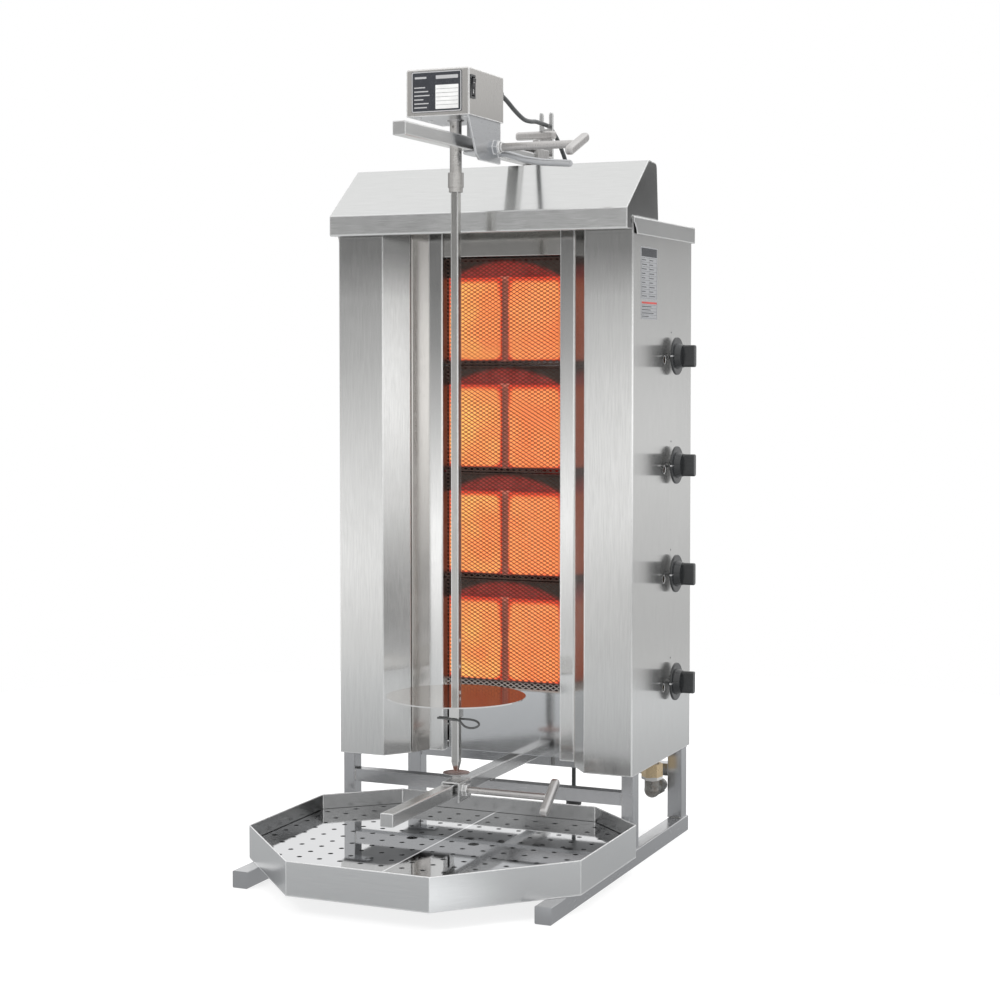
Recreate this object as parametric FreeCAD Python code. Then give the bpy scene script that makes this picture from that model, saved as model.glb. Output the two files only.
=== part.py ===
import FreeCAD, Part
import math
import os

# Vertical rotisserie broiler, four gas burners, motor on top.
# Millimetres.  X = 0 is the symmetry plane of the body, Y = 0 is the front
# face of the two wings, Z = 0 is the floor.  -Y is the operator's side and
# +X is the operator's right.

V = FreeCAD.Vector
AXES = {"X": V(1, 0, 0), "Y": V(0, 1, 0), "Z": V(0, 0, 1)}

# ---------------------------------------------------------------- dimensions
# In names: hw = half width, r = radius, t = thickness, 0 / 1 = low / high limit.
body_hw = 250.0                         # to the outside of a side panel
body_d = 285.0                          # front face to the back flanges
body_z0, body_z1 = 140.0, 988.0         # underside and top edge of the casing
sheet_t = 1.0                           # casing sheet
bend_r = 1.0                            # inside bend radius of the casing sheet

wing_x = 171.5                          # inner end of the wing's front face
wing_in_x, wing_in_y = 141.0, 40.0      # inner end of the angled wing face
refl_end_x, refl_end_y = 126.8, 77.4    # rear end of the mirror strip
rail_out_x, rail_in_x = 125.3, 102.7    # front flange of the mesh rail
rail_y0, rail_y1 = 76.4, 92.0

lid_hw, lid_y0, lid_y1 = 254.0, -7.0, 290.0
lid_z1, lid_lip_z = 990.0, 964.0

hood_hw = 250.5
hood_y = -29.0                          # fascia plane
hood_z0, hood_zb = 970.0, 1002.0        # fascia bottom edge, fascia / slope bend
hood_top_y, hood_top_z, hood_rear_y = 69.0, 1080.0, 114.0

screw_x = body_hw - 7                   # rear flange screws
screw_z = [165.0 + 128.5 * i for i in range(7)]
back_y = body_d + 0.2                   # front face of the back panel

tile_w, tile_h, tile_t, tile_gap, tile_y = 92.0, 132.0, 13.0, 12.0, 93.0
burner_pitch = 171.5
basket_z = [251.0 + burner_pitch * i for i in range(4)]   # basket bottom edges
burner_mid = 72.0                       # mixing tube axis above the basket edge
basket_hw, basket_y = 101.1, 78.0

knob_y = 183.0                          # also the axis of the mixing tubes
knob_z = [260.0, 433.3, 606.7, 780.0]
knob_skirt_r, knob_skirt_t, knob_skirt_x = 30.0, 3.4, 258.0
knob_end_x = 290.0
gas_x, gas_y = 211.0, 208.0             # manifold axis

tube_wall, tube_corner_r = 2.0, 1.8
run_out, run_w = 252.0, 25.0            # runner outer face, tube size
run_y0, run_y1 = -334.0, 272.0
post_z1 = body_z0 - 2                   # top of the posts, under the tabs
tab_holes = [(214, 22.5), (208, 259.5)]  # x, y of the base pan screws
arm_sq = 20.0                           # both arms and both cross tubes
cross_tubes = [(229.2, 22.0), (224.2, 259.5)]   # half length, middle y
cross_y = [y for _, y in cross_tubes]
cross_z0 = 92.0
cross_z1 = cross_z0 + arm_sq
arm_y0 = -333.0
low_arm_z0 = cross_z1                   # the arm lies on the cross tubes
low_arm_y1 = cross_y[1] + arm_sq / 2

mast_x, mast_y = 22.0, 170.0
mast_z0, mast_plate_t = 990.2, 4.0
lid_bolts = [(mast_x + sx * 28, mast_y + sy * 28) for sx in (-1, 1) for sy in (-1, 1)]
arm_x0, arm_x1 = mast_x - arm_sq / 2, mast_x + arm_sq / 2
arm_z0, up_arm_y1 = 1087.0, 214.0
arm_z1 = arm_z0 + arm_sq

spit_y = -95.0
shaft_r = 9.0
spit_hw = 6.0                           # half the square spit
disc_r, disc_t, disc_z = 106.0, 2.0, 261.0
clip_z = 228.0
coupling_z = 1033.2                     # bottom of the drive shaft

box_hw, box_y0, box_y1 = 51.5, -160.0, -32.0    # motor box
box_z0, box_z1 = 1134.0, 1204.0
cable_r = 3.5
lead_x, lead_z = 42.0, 1180.0           # where the cable leaves the motor box

tray_hw, tray_front_hw, tray_rear_hw = 267.0, 111.0, 168.0
tray_y = (-426.0, -260.0, -29.0, 61.5)  # front, two side corners, rear
tray_z0, tray_z1, tray_t = 25.3, 75.0, 1.2
perf_z = 50.0
perf_hole_r, perf_px, perf_py = 4.0, 33.2, 34.0

plug_x, plug_y, plug_r = 38.0, 303.0, 13.0

# parts are saved about the middle of the footprint
datum_shift = V(-(knob_end_x - tray_hw) / 2.0, -(tray_y[0] + plug_y + plug_r) / 2.0, 0)

os.makedirs("parts", exist_ok=True)


# ------------------------------------------------------------------- helpers
def box(x0, x1, y0, y1, z0, z1):
    return Part.makeBox(x1 - x0, y1 - y0, z1 - z0, V(x0, y0, z0))


def cyl(x, y, z, radius, length, axis="Z"):
    return Part.makeCylinder(radius, length, V(x, y, z), AXES[axis])


def cone(x, y, z, r_start, r_end, length, axis="Z"):
    return Part.makeCone(r_start, r_end, length, V(x, y, z), AXES[axis])


def hexagon(x, y, z, across_flats, length, axis="Z", turn=0.0):
    r = across_flats / math.sqrt(3.0)
    u, v, start = {"X": (y, z, x), "Y": (x, z, y), "Z": (x, y, z)}[axis]
    angles = [math.radians(60 * i + turn) for i in range(6)]
    points = [(u + r * math.cos(a), v + r * math.sin(a)) for a in angles]
    return prism(axis, points, start, start + length)


def in_plane(axis, u, v):
    """Point of the plane square to the axis, through the origin."""
    return {"X": V(0, u, v), "Y": V(u, 0, v), "Z": V(u, v, 0)}[axis]


def extrude(axis, face, start, end):
    moved = face.copy()
    moved.translate(AXES[axis] * start)
    return moved.extrude(AXES[axis] * (end - start))


def rounded_path(points, radii):
    """Edges of an open polyline, with an arc of the given radius at each corner."""
    edges = []
    current = points[0]
    for i in range(1, len(points) - 1):
        corner, radius = points[i], radii[i]
        back = points[i - 1] - corner
        ahead = points[i + 1] - corner
        back.normalize()
        ahead.normalize()
        angle = math.acos(max(-1.0, min(1.0, back.dot(ahead))))
        if radius < 1e-6 or abs(angle - math.pi) < 1e-4:
            edges.append(Part.LineSegment(current, corner).toShape())
            current = corner
            continue
        trim = radius / math.tan(angle / 2.0)
        bisector = back + ahead
        bisector.normalize()
        centre = corner + bisector * (radius / math.sin(angle / 2.0))
        arc_start, arc_end = corner + back * trim, corner + ahead * trim
        if (arc_start - current).Length > 1e-6:
            edges.append(Part.LineSegment(current, arc_start).toShape())
        edges.append(Part.Arc(arc_start, centre - bisector * radius, arc_end).toShape())
        current = arc_end
    edges.append(Part.LineSegment(current, points[-1]).toShape())
    return edges


def offset_poly(points, dist):
    """Open polyline moved to its left by dist (negative: to its right), mitred."""
    normals = []
    for (x0, y0), (x1, y1) in zip(points, points[1:]):
        length = math.hypot(x1 - x0, y1 - y0)
        normals.append((-(y1 - y0) / length, (x1 - x0) / length))
    out = [(points[0][0] + normals[0][0] * dist, points[0][1] + normals[0][1] * dist)]
    for a, b, (x, y) in zip(normals, normals[1:], points[1:]):
        k = dist / (1.0 + a[0] * b[0] + a[1] * b[1])
        out.append((x + (a[0] + b[0]) * k, y + (a[1] + b[1]) * k))
    out.append((points[-1][0] + normals[-1][0] * dist, points[-1][1] + normals[-1][1] * dist))
    return out


def sheet(axis, points, thick, start, end, bend=bend_r):
    """Bent sheet: the points are one skin, the other lies thick to their left."""
    other = offset_poly(points, thick)
    skin_r, other_r = [0.0], [0.0]
    for (x0, y0), (x1, y1), (x2, y2) in zip(points, points[1:], points[2:]):
        left_turn = (x1 - x0) * (y2 - y1) - (y1 - y0) * (x2 - x1) > 0
        other_is_inside = left_turn == (thick > 0)
        skin_r.append(bend + abs(thick) if other_is_inside else bend)
        other_r.append(bend if other_is_inside else bend + abs(thick))
    skin_r.append(0.0)
    other_r.append(0.0)
    skin = [in_plane(axis, *p) for p in points]
    back = [in_plane(axis, *p) for p in other[::-1]]
    edges = rounded_path(skin, skin_r)
    edges.append(Part.LineSegment(skin[-1], back[0]).toShape())
    edges += rounded_path(back, other_r[::-1])
    edges.append(Part.LineSegment(back[-1], skin[0]).toShape())
    return extrude(axis, Part.Face(Part.Wire(Part.__sortEdges__(edges))), start, end)


def prism(axis, points, start, end, radii=None):
    """Closed polygon with optional corner radii, extruded along the axis."""
    corners = [in_plane(axis, *p) for p in points]
    if radii is None:
        wire = Part.makePolygon(corners + [corners[0]])
    else:
        seam = (corners[0] + corners[-1]) * 0.5     # middle of the closing side
        path = rounded_path([seam] + corners + [seam], [0] + list(radii) + [0])
        wire = Part.Wire(Part.__sortEdges__(path))
    return extrude(axis, Part.Face(wire), start, end)


def rounded_plate(axis, u0, u1, v0, v1, start, end, radius):
    return prism(axis, [(u0, v0), (u1, v0), (u1, v1), (u0, v1)], start, end, [radius] * 4)


def pipe(points, radius, bend):
    """Round bar through 3-D points, with arcs at the corners."""
    P = [V(*p) for p in points]
    spine = Part.Wire(rounded_path(P, [bend] * len(P)))
    profile = Part.Wire([Part.makeCircle(radius, P[0], P[1] - P[0])])
    return spine.makePipeShell([profile], True, False)


def fuse(shapes):
    return shapes[0].multiFuse(shapes[1:]).removeSplitter()


def cut_all(shape, tools):
    return shape.cut(Part.makeCompound(tools))


def mirror_x(shape):
    return shape.mirror(V(0, 0, 0), V(1, 0, 0))


def is_along(edge, axis):
    return abs(edge.tangentAt(edge.FirstParameter).dot(AXES[axis])) > 0.99


def round_along(shape, axis, radius):
    """Fillet the edges parallel to the axis."""
    return shape.makeFillet(radius, [e for e in shape.Edges if is_along(e, axis)])


def round_end(shape, axis, at, radius):
    """Fillet the edges that lie in the plane axis = at, if there are any."""
    def in_end(edge):
        limits = [getattr(edge.BoundBox, axis + side) for side in ("Min", "Max")]
        return all(abs(limit - at) < 1e-3 for limit in limits)
    rim = [e for e in shape.Edges if in_end(e)]
    return shape.makeFillet(radius, rim) if rim else shape


def square_tube(x0, x1, y0, y1, z0, z1):
    """Tube along Y, closed at both ends."""
    w = tube_wall
    outer = round_along(box(x0, x1, y0, y1, z0, z1), "Y", tube_corner_r)
    return outer.cut(box(x0 + w, x1 - w, y0 + w, y1 - w, z0 + w, z1 - w))


def end_vent(x, y_end, z):
    """Cutter for the vent hole in the rear end of a square tube."""
    return cyl(x, y_end - 3 * tube_wall, z, 2.0, 4 * tube_wall, "Y")


def clamp_screw(axis, centre, start, end, rod_r, tip_r, bar_len, bar_t, bar_dir):
    """Rod along the axis from start to end, with a cross bar on its outer end.

    The centre has a zero coordinate along the axis."""
    tip_len, bar_hw = 1.6, 7.0
    normal = AXES[axis]
    foot = V(*centre) + normal * start
    head = V(*centre) + normal * end
    rod = Part.makeCylinder(rod_r, end - start, foot, normal)
    tip = Part.makeCylinder(tip_r, tip_len + 0.5, foot - normal * tip_len, normal)
    along = V(*bar_dir)
    along.normalize()
    side = normal.cross(along) * bar_hw
    reach = bar_len / 2.0 - bar_hw * 0.98   # to the centre of a rounded end
    near, far = head - along * reach, head + along * reach
    outline = [Part.LineSegment(near - side, far - side),
               Part.Arc(far - side, far + along * bar_hw, far + side),
               Part.LineSegment(far + side, near + side),
               Part.Arc(near + side, near - along * bar_hw, near - side)]
    bar = Part.Face(Part.Wire([c.toShape() for c in outline])).extrude(normal * bar_t)
    long_edges = [e for e in bar.Edges if e.Length > 2 * bar_hw * 0.9]
    return fuse([rod, tip, bar.makeFillet(bar_t * 0.30, long_edges)])


def save(name, shape):
    solids = shape.Solids
    assert solids, name
    for solid in solids:
        assert solid.isValid(), name
    out = solids[0] if len(solids) == 1 else Part.makeCompound(solids)
    out = out.copy()
    out.translate(datum_shift)
    out.exportStep("parts/%s.step" % name)


def save_all(name, shapes):
    save(name, Part.makeCompound(shapes))


def save_pair(name, right):
    save(name + "_right", right)
    save(name + "_left", mirror_x(right))


# ---------------------------------------------------------------- base frame
def frame_side():
    """Right runner with its two posts and the welded tabs for the base pan."""
    w = tube_wall
    posts = [(229, 249, 10, 35), (224, 249, 247, 272)]      # x0, x1, y0, y1
    shapes = [square_tube(run_out - run_w, run_out, run_y0, run_y1, 0, run_w)]
    for post in posts:
        shapes.append(round_along(box(*post, run_w - 0.5, post_z1), "Z", tube_corner_r))
    tabs = [[(206, 14), (249, 10), (249, 35), (206, 31)],
            [(200, 251), (249, 247), (249, 272), (200, 268)]]
    shapes += [prism("Z", tab, post_z1, body_z0) for tab in tabs]
    cuts = [box(x0 + w, x1 - w, y0 + w, y1 - w, run_w + 1.5, post_z1 - w)
            for x0, x1, y0, y1 in posts]
    cuts += [cyl(x, y, post_z1 - 3, 2.5, 6) for x, y in ((239, 22.5), (236, 259.5))]
    cuts.append(end_vent(run_out - run_w / 2, run_y1, run_w / 2))
    cuts += [cyl(x, y, post_z1 - 1, 3.2, 4) for x, y in tab_holes]
    return cut_all(fuse(shapes), cuts)


def base_frame():
    right = frame_side()
    half_sq, half_bore = arm_sq / 2, arm_sq / 2 - tube_wall
    shapes, cuts = [right, mirror_x(right)], []
    for half, y in cross_tubes:
        bore = half - 2.2
        shapes.append(box(-half, half, y - half_sq, y + half_sq, cross_z0, cross_z1))
        cuts += [box(-bore, bore, y - half_bore, y + half_bore,
                     cross_z0 + tube_wall, cross_z1 - tube_wall),
                 cyl(200, y, cross_z0 - 1, 2.0, 4),
                 cyl(0, y, cross_z1 - 3, 3.1, 4)]
    return cut_all(fuse(shapes), cuts)


save("base_frame", base_frame())

lower_arm = square_tube(-arm_sq / 2, arm_sq / 2, arm_y0, low_arm_y1,
                        low_arm_z0, low_arm_z0 + arm_sq)
lower_arm_holes = [cyl(0, y, low_arm_z0 - 1, 3.1, 4) for y in cross_y]
save("lower_arm", cut_all(lower_arm, [end_vent(0, low_arm_y1, low_arm_z0 + arm_sq / 2)]
                          + lower_arm_holes))

# -------------------------------------------------------------------- casing
wing_len = math.hypot(wing_in_x - wing_x, wing_in_y)
# along the angled wing face, inward; and square to it, into the wing
wing_dir = ((wing_in_x - wing_x) / wing_len, wing_in_y / wing_len)
wing_normal = (wing_dir[1], -wing_dir[0])


def from_wing_end(inward, into):
    """Point placed from the inner end of the angled wing face."""
    return (wing_in_x + wing_dir[0] * inward + wing_normal[0] * into,
            wing_in_y + wing_dir[1] * inward + wing_normal[1] * into)


casing = sheet("Z", [(body_hw - 14, body_d), (body_hw, body_d), (body_hw, 0.0),
                     (wing_x, 0.0), (wing_in_x, wing_in_y), from_wing_end(0, 12)],
               -sheet_t, body_z0, body_z1)
flange_holes = [cyl(screw_x, body_d - 3, z, 2.1, 6, "Y") for z in screw_z]
# a stem hole and a second hole in front of it, at each knob
knob_holes = []
for z in knob_z:
    knob_holes += [cyl(body_hw - 3, knob_y, z, 6.5, 6, "X"),
                   cyl(body_hw - 3, 149.0, z - 6.0, 6.0, 6, "X")]
save("casing_right", cut_all(cut_all(casing, knob_holes), flange_holes))
save("casing_left", mirror_x(cut_all(casing, flange_holes)))

# mirror-finish strip between the wing and the mesh rail
refl_gap = 1.4
save_pair("reflector", sheet("Z", [from_wing_end(refl_gap, 11), from_wing_end(refl_gap, 0),
                                   (refl_end_x, refl_end_y), (refl_end_x, refl_end_y + 12)],
                             -0.8, body_z0, body_z1, bend=0.6))

# channel rail that holds the mesh baskets
save_pair("rail", sheet("Z", [(rail_out_x, rail_y0 + 13), (rail_out_x, rail_y0),
                              (rail_in_x, rail_y0), (rail_in_x, rail_y1)],
                        1.2, body_z0, body_z1, bend=0.8))


# ---------------------------------------------------------- lid, hood, back
def roof_lid():
    lid = sheet("Y", [(-lid_hw, lid_lip_z), (-lid_hw, lid_z1),
                      (lid_hw, lid_z1), (lid_hw, lid_lip_z)], -1.0, lid_y0, lid_y1)
    # the front lower corner of each side lip is cut in a curve
    corner = [(lid_y0 - 1, lid_lip_z - 1), (lid_y0 + 17, lid_lip_z - 1),
              (lid_y0 + 12, lid_lip_z + 7), (lid_y0 + 5.5, lid_lip_z + 14),
              (lid_y0 - 1, lid_lip_z + 18)]
    lid = lid.cut(prism("X", corner, -lid_hw - 2, lid_hw + 2, [0, 3, 9, 9, 0]))
    rear_lip = sheet("X", [(lid_y1 - 20, lid_z1), (lid_y1, lid_z1), (lid_y1, lid_lip_z)],
                     -1.0, -lid_hw + 0.02, lid_hw - 0.02)
    # make room for the rear bend
    lid = lid.cut(box(-lid_hw + 2.5, lid_hw - 2.5, lid_y1 - 10, lid_y1 + 1,
                      lid_z1 - 2.5, lid_z1 + 1))
    # spot-welded channel that stiffens the lid under the mast, and its flanges
    channel_hw = 246
    channel = sheet("X", [(135, 988.9), (135, 966), (205, 966), (205, 988.9)],
                    1.5, -channel_hw, channel_hw, bend=1.5)
    flanges = [box(-channel_hw, channel_hw, y0, y1, 987.4, 989.1)
               for y0, y1 in ((127, 136.5), (203.5, 213))]
    lid = fuse([lid, rear_lip, channel] + flanges)
    return cut_all(lid, [cyl(x, y, 985, 3.1, 8) for x, y in lid_bolts])


save("roof_lid", roof_lid())


def hood():
    thick, foot_z = 1.0, 990.4
    front = sheet("X", [(hood_y + 10, hood_z0), (hood_y, hood_z0), (hood_y, hood_zb),
                        (hood_top_y, hood_top_z), (hood_top_y + 12, hood_top_z)],
                  -thick, -hood_hw + 0.01, hood_hw - 0.01, bend=1.2)
    outline = [(hood_y + 0.4, hood_z0 + 0.4), (lid_y0 - 1.2, hood_z0 + 0.4),
               (lid_y0 - 1.2, foot_z), (hood_rear_y, foot_z),
               (hood_rear_y - 8, hood_top_z - 2), (hood_top_y, hood_top_z - 0.3),
               (hood_y + 0.4, hood_zb - 0.3)]
    cheek = prism("X", outline, hood_hw - thick, hood_hw, [0, 0, 0, 0, 9, 0.5, 0])
    foot = box(hood_hw - 13, hood_hw - 0.5, 10, 105, foot_z, foot_z + thick)
    foot = cut_all(foot, [cyl(hood_hw - 7, y, 989, 2.1, 4) for y in (25, 90)])
    return fuse([front, cheek, mirror_x(cheek), foot, mirror_x(foot)])


save("hood", hood())


def back_panel():
    """Flat panel with two columns of pressed louvres, open at the bottom."""
    louvre_hw = 70
    panel = box(-body_hw + 3, body_hw - 3, back_y, back_y + 1.0, 142, 962)
    louvres, slots = [], []
    for x in (-112.0, 112.0):
        for i in range(11):
            z = 240 + i * 60
            louvre = [(back_y + 0.5, z), (back_y + 3.6, z),
                      (back_y + 3.6, z + 1.2), (back_y + 0.5, z + 11)]
            slot = [(back_y - 1, z - 0.5), (back_y + 2.6, z - 0.5), (back_y + 2.6, z + 1.0),
                    (back_y + 0.2, z + 8.2), (back_y - 1, z + 8.2)]
            louvres.append(prism("X", louvre, x - louvre_hw, x + louvre_hw))
            slots.append(prism("X", slot, x - louvre_hw + 1, x + louvre_hw - 1))
    panel = cut_all(panel.multiFuse(louvres), slots)
    return cut_all(panel, [cyl(side * screw_x, back_y - 1, z, 2.1, 4, "Y")
                           for side in (-1, 1) for z in screw_z])


save("back_panel", back_panel())


def back_screw(x, z):
    """Domed cross-head screw of the back panel."""
    head_y = back_y + 1.0
    shank = cyl(x, body_d - 5, z, 2.0, 6.4, "Y")
    head = round_end(cyl(x, head_y, z, 4.0, 2.4, "Y"), "Y", head_y + 2.4, 1.4)
    screw = shank.fuse(head)
    for half_x, half_z in ((0.5, 2.6), (2.6, 0.5)):
        screw = screw.cut(box(x - half_x, x + half_x, back_y + 2.4, back_y + 4,
                              z - half_z, z + half_z))
    return screw.removeSplitter()


screws = [back_screw(side * screw_x, z) for side in (-1, 1) for z in screw_z]
# mast bolts through the lid
screws += [fuse([cyl(x, y, 976, 3.0, 18.3), hexagon(x, y, mast_z0 + mast_plate_t, 10, 4.0)])
           for x, y in lid_bolts]
save_all("casing_screws", screws)


# --------------------------------------------------- base pan, inner plates
def base_pan():
    pan_hw, z0, z1 = 248.4, 140.5, 142.0
    wing = prism("Z", [(pan_hw, 1.8), (173.4, 1.8), (157.0, 24.5), (157.0, 104.0),
                       (pan_hw, 104.0)], z0, z1)
    pan = fuse([box(-pan_hw, pan_hw, 103, 283.4, z0, z1), wing, mirror_x(wing),
                box(-pan_hw, pan_hw, 103, 104.2, z0, 150),      # upturned front edge
                cyl(78, 106.5, 125.5, 3.2, 15.5)])              # round stub below the pan
    holes = [cyl(gas_x, gas_y, 138, 12.0, 6)]
    holes += [cyl(side * x, y, 138, 3.2, 6) for x, y in tab_holes for side in (-1, 1)]
    holes += [cyl(x, y, 138, 9.0, 6) for x in (-120, -60, 0, 60, 120) for y in (150, 220)]
    return cut_all(pan, holes)


save("base_pan", base_pan())

plate_hw = 101.2
save("lower_reflector", sheet("X", [(101.6, 243), (98, 243), (98, 140.2), (101.6, 140.2)],
                              -0.8, -plate_hw, plate_hw, bend=0.6))
save("upper_plate", sheet("X", [(92, 938.4), (80, 938.4), (80, 986), (92, 986)],
                          -0.8, -plate_hw, plate_hw, bend=0.8))


# ------------------------------------------------------------------- burners
def burner_housing(z):
    """Hollow housing behind the tiles, with the mixing tube on its back."""
    half = 99.5
    body = box(-half, half, 95.0, 150.0, z + 6, z + 142)
    hollow = fuse([box(-98.2, -5.8, 90, 107.2, z + 7.8, z + 140.2),
                   box(5.8, 98.2, 90, 107.2, z + 7.8, z + 140.2),
                   box(-96.5, 96.5, 107.0, 148.6, z + 9.5, z + 138.5)])
    deflector = sheet("X", [(97.5, z + 142.4), (97.5, z + 166), (92.5, z + 169.5)],
                      -1.0, -half, half)
    link = box(-half, half, 97.5, 98.5, z + 141.5, z + 142.8)
    body = fuse([body, deflector, link]).cut(hollow)
    mid = z + burner_mid
    tube_r, bore_r, flare = 18, 16.8, 5
    outer = fuse([cyl(-70, knob_y, mid, tube_r, 185, "X"),
                  box(-70, -26, 149.5, knob_y, mid - 16, mid + 16)])
    bore = fuse([cyl(-68.5, knob_y, mid, bore_r, 190, "X"),
                 box(-68.5, -27.5, 146, knob_y, mid - 14.5, mid + 14.5)])
    bell = cone(112, knob_y, mid, tube_r, tube_r + flare, 12, "X")
    bell = bell.cut(cone(112, knob_y, mid, bore_r, bore_r + flare, 12, "X"))
    body = body.cut(box(-68.5, -27.5, 146, 152, mid - 14.5, mid + 14.5))
    return body.fuse([outer.cut(bore), bell]).removeSplitter()


def ceramic_tile(side, z):
    x0 = side * (tile_gap / 2 + tile_w / 2) - tile_w / 2
    return box(x0, x0 + tile_w, tile_y, tile_y + tile_t, z + 8, z + 8 + tile_h)


def mesh_guard(z):
    """Expanded-metal basket, open at the back; the lowest one reaches further down."""
    t = 1.4
    low = z - 5.5 if z == basket_z[0] else z + 0.4
    high = z + burner_pitch - 0.4
    guard = box(-basket_hw, basket_hw, basket_y, basket_y + 12, low, high)
    return guard.cut(box(-basket_hw + t, basket_hw - t, basket_y + t, basket_y + 14,
                         low + t, high - t))


def injector(z):
    body = fuse([cyl(127, knob_y, z, 5.0, 12, "X"), hexagon(130, knob_y, z, 14, 6, "X"),
                 cone(124, knob_y, z, 2.5, 5.0, 3, "X")])
    return body.cut(cyl(123, knob_y, z, 0.8, 17, "X"))


def thermocouple(z):
    y = 99.5
    return fuse([cyl(100.4, y, z, 2.6, 40, "X"), cyl(128, y, z, 4.5, 8, "X"),
                 hexagon(136.0, y, z, 10, 5, "X")])


save_all("burner_housings", [burner_housing(z) for z in basket_z])
save_all("ceramic_tiles", [ceramic_tile(side, z) for z in basket_z for side in (-1, 1)])
save_all("mesh_guards", [mesh_guard(z) for z in basket_z])
save_all("injectors", [injector(z + burner_mid) for z in basket_z])
save_all("thermocouples", [thermocouple(z + 22) for z in basket_z])

# ------------------------------------------------------------------ gas line
save("gas_manifold", cyl(gas_x, gas_y, 120.2, 10.65, 690).cut(cyl(gas_x, gas_y, 119, 8.0, 688)))

manifold_seat_r = 10.75
outlet_x = 235.0                        # gas outlet on top of each valve


def gas_valve(z):
    body = fuse([box(224, 243, 171, 195, z - 12, z + 12), box(224, 243, 190, 219, z - 9, z + 9),
                 cyl(221.9, gas_y, z, 5.5, 4, "X"), cyl(outlet_x, knob_y, z + 11, 6.0, 9),
                 hexagon(outlet_x, knob_y, z + 14, 14, 5), cyl(242, knob_y, z, 8.0, 5, "X")])
    return cut_all(body, [cyl(228, knob_y, z, 4.05, 25, "X"),
                          cyl(gas_x, gas_y, z - 20, manifold_seat_r, 40),
                          cyl(outlet_x, knob_y, z + 13, 4.1, 12)])


def feed_pipe(valve_z, burner_z):
    return pipe([(outlet_x, knob_y, valve_z + 14.0), (outlet_x, knob_y, burner_z),
                 (139.2, knob_y, burner_z)], 4.0, 12)


save_all("gas_valves", [gas_valve(z) for z in knob_z])
save_all("feed_pipes", [feed_pipe(valve_z, z + burner_mid)
                        for valve_z, z in zip(knob_z, basket_z)])


def gas_inlet():
    """Elbow under the manifold, its outlet pointing to the back."""
    z = 76
    elbow = fuse([hexagon(gas_x, gas_y, 94, 30, 26, "Z", 15), cyl(gas_x, gas_y, z, 12.2, 18.5),
                  Part.makeSphere(12.6, V(gas_x, gas_y, z)), cyl(gas_x, gas_y, z, 11.4, 20, "Y"),
                  hexagon(gas_x, gas_y + 17, z, 24, 12, "Y", 30),
                  cyl(gas_x, gas_y + 28, z, 10.48, 19, "Y")])
    return cut_all(elbow, [cyl(gas_x, gas_y, z, 7.0, 46), cyl(gas_x, gas_y, z, 7.0, 50, "Y"),
                           cyl(gas_x, gas_y, 118.6, manifold_seat_r, 3)])


save("gas_inlet", gas_inlet())


def valve_stem(z):
    """Sprung spindle of the gas tap, stepped where the knob seats."""
    return fuse([cyl(236, knob_y, z, 4.0, 26, "X"), cyl(knob_skirt_x, knob_y, z, 3.0, 18, "X")])


def knob(z):
    """Skirt, tapered hub and flat grip, bored for the stepped stem."""
    skirt = cyl(knob_skirt_x, knob_y, z, knob_skirt_r, knob_skirt_t, "X")
    skirt = round_end(skirt, "X", knob_skirt_x + knob_skirt_t, 1.4)
    hub_x = knob_skirt_x + 3.0
    hub = cone(hub_x, knob_y, z, 21, 18, 9.6, "X")
    grip = rounded_plate("X", knob_y - 6.0, knob_y + 6.0, z - 17.5, z + 17.5,
                         hub_x, knob_end_x, 4)
    grip = round_end(grip, "X", knob_end_x, 1.6)
    bore = cyl(knob_skirt_x - 1, knob_y, z, 4.06, 5.2, "X")
    bore = bore.fuse(cyl(knob_skirt_x - 1, knob_y, z, 3.05, 20, "X"))
    return fuse([skirt, hub, grip]).cut(bore)


for number, z in enumerate(knob_z, 1):
    save("valve_stem_%d" % number, valve_stem(z))
    save("knob_%d" % number, knob(z))


# ----------------------------------------------------- mast and upper arm
def arm_mast():
    """Square post on a bolted plate, with the sleeve that holds the upper arm."""
    x, y = mast_x, mast_y
    post = round_along(box(x - 12.5, x + 12.5, y - 12.5, y + 12.5, mast_z0, 1084), "Z", 2.0)
    plate = rounded_plate("Z", x - 36, x + 36, y - 36, y + 36,
                          mast_z0, mast_z0 + mast_plate_t, 4)
    sleeve = round_along(box(arm_x0 - 3.2, arm_x1 + 3.2, y - 24, y + 24,
                             arm_z0 - 3.4, arm_z1 + 8.6), "Y", 2.0)
    boss = hexagon(x, y, arm_z1 + 8.5, 19, 7.5)
    gussets = [prism("X", [(y + side * 12, 994), (y + side * 34, 994), (y + side * 12, 1040)],
                     x - 2, x + 2) for side in (-1, 1)]
    mast = fuse([post, plate, sleeve, boss] + gussets)
    return cut_all(mast, [box(arm_x0 - 0.2, arm_x1 + 0.2, y - 30, y + 30,
                              arm_z0 - 0.4, arm_z1 + 5.6),
                          cyl(x, y, arm_z1 + 4, 5.05, 20),
                          box(x - 10.5, x + 10.5, y - 10.5, y + 10.5, 996, 1080),
                          cyl(x, y - 20, 1020, 2.5, 12, "Y")]
                   + [cyl(bx, by, 985, 3.1, 12) for bx, by in lid_bolts])


save("arm_mast", arm_mast())


def cable_fork():
    """Forked plate welded on the rear end of the upper arm, it holds the cable."""
    x0, x1, top = 10.0, 34.0, 1180.0
    y, slot_z = up_arm_y1, top - 22
    slot = fuse([box(x0 + 7, x1 - 7, y - 2, y + 5, slot_z, top + 1),
                 cyl((x0 + x1) / 2, y - 2, slot_z, 5.0, 8, "Y")])
    fork = box(x0, x1, y, y + 3.0, arm_z0 + 1.0, top).cut(slot)
    tops = [e for e in fork.Edges if is_along(e, "Y") and e.BoundBox.ZMin > top - 0.1]
    return fork.makeFillet(3.4, tops)


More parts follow.
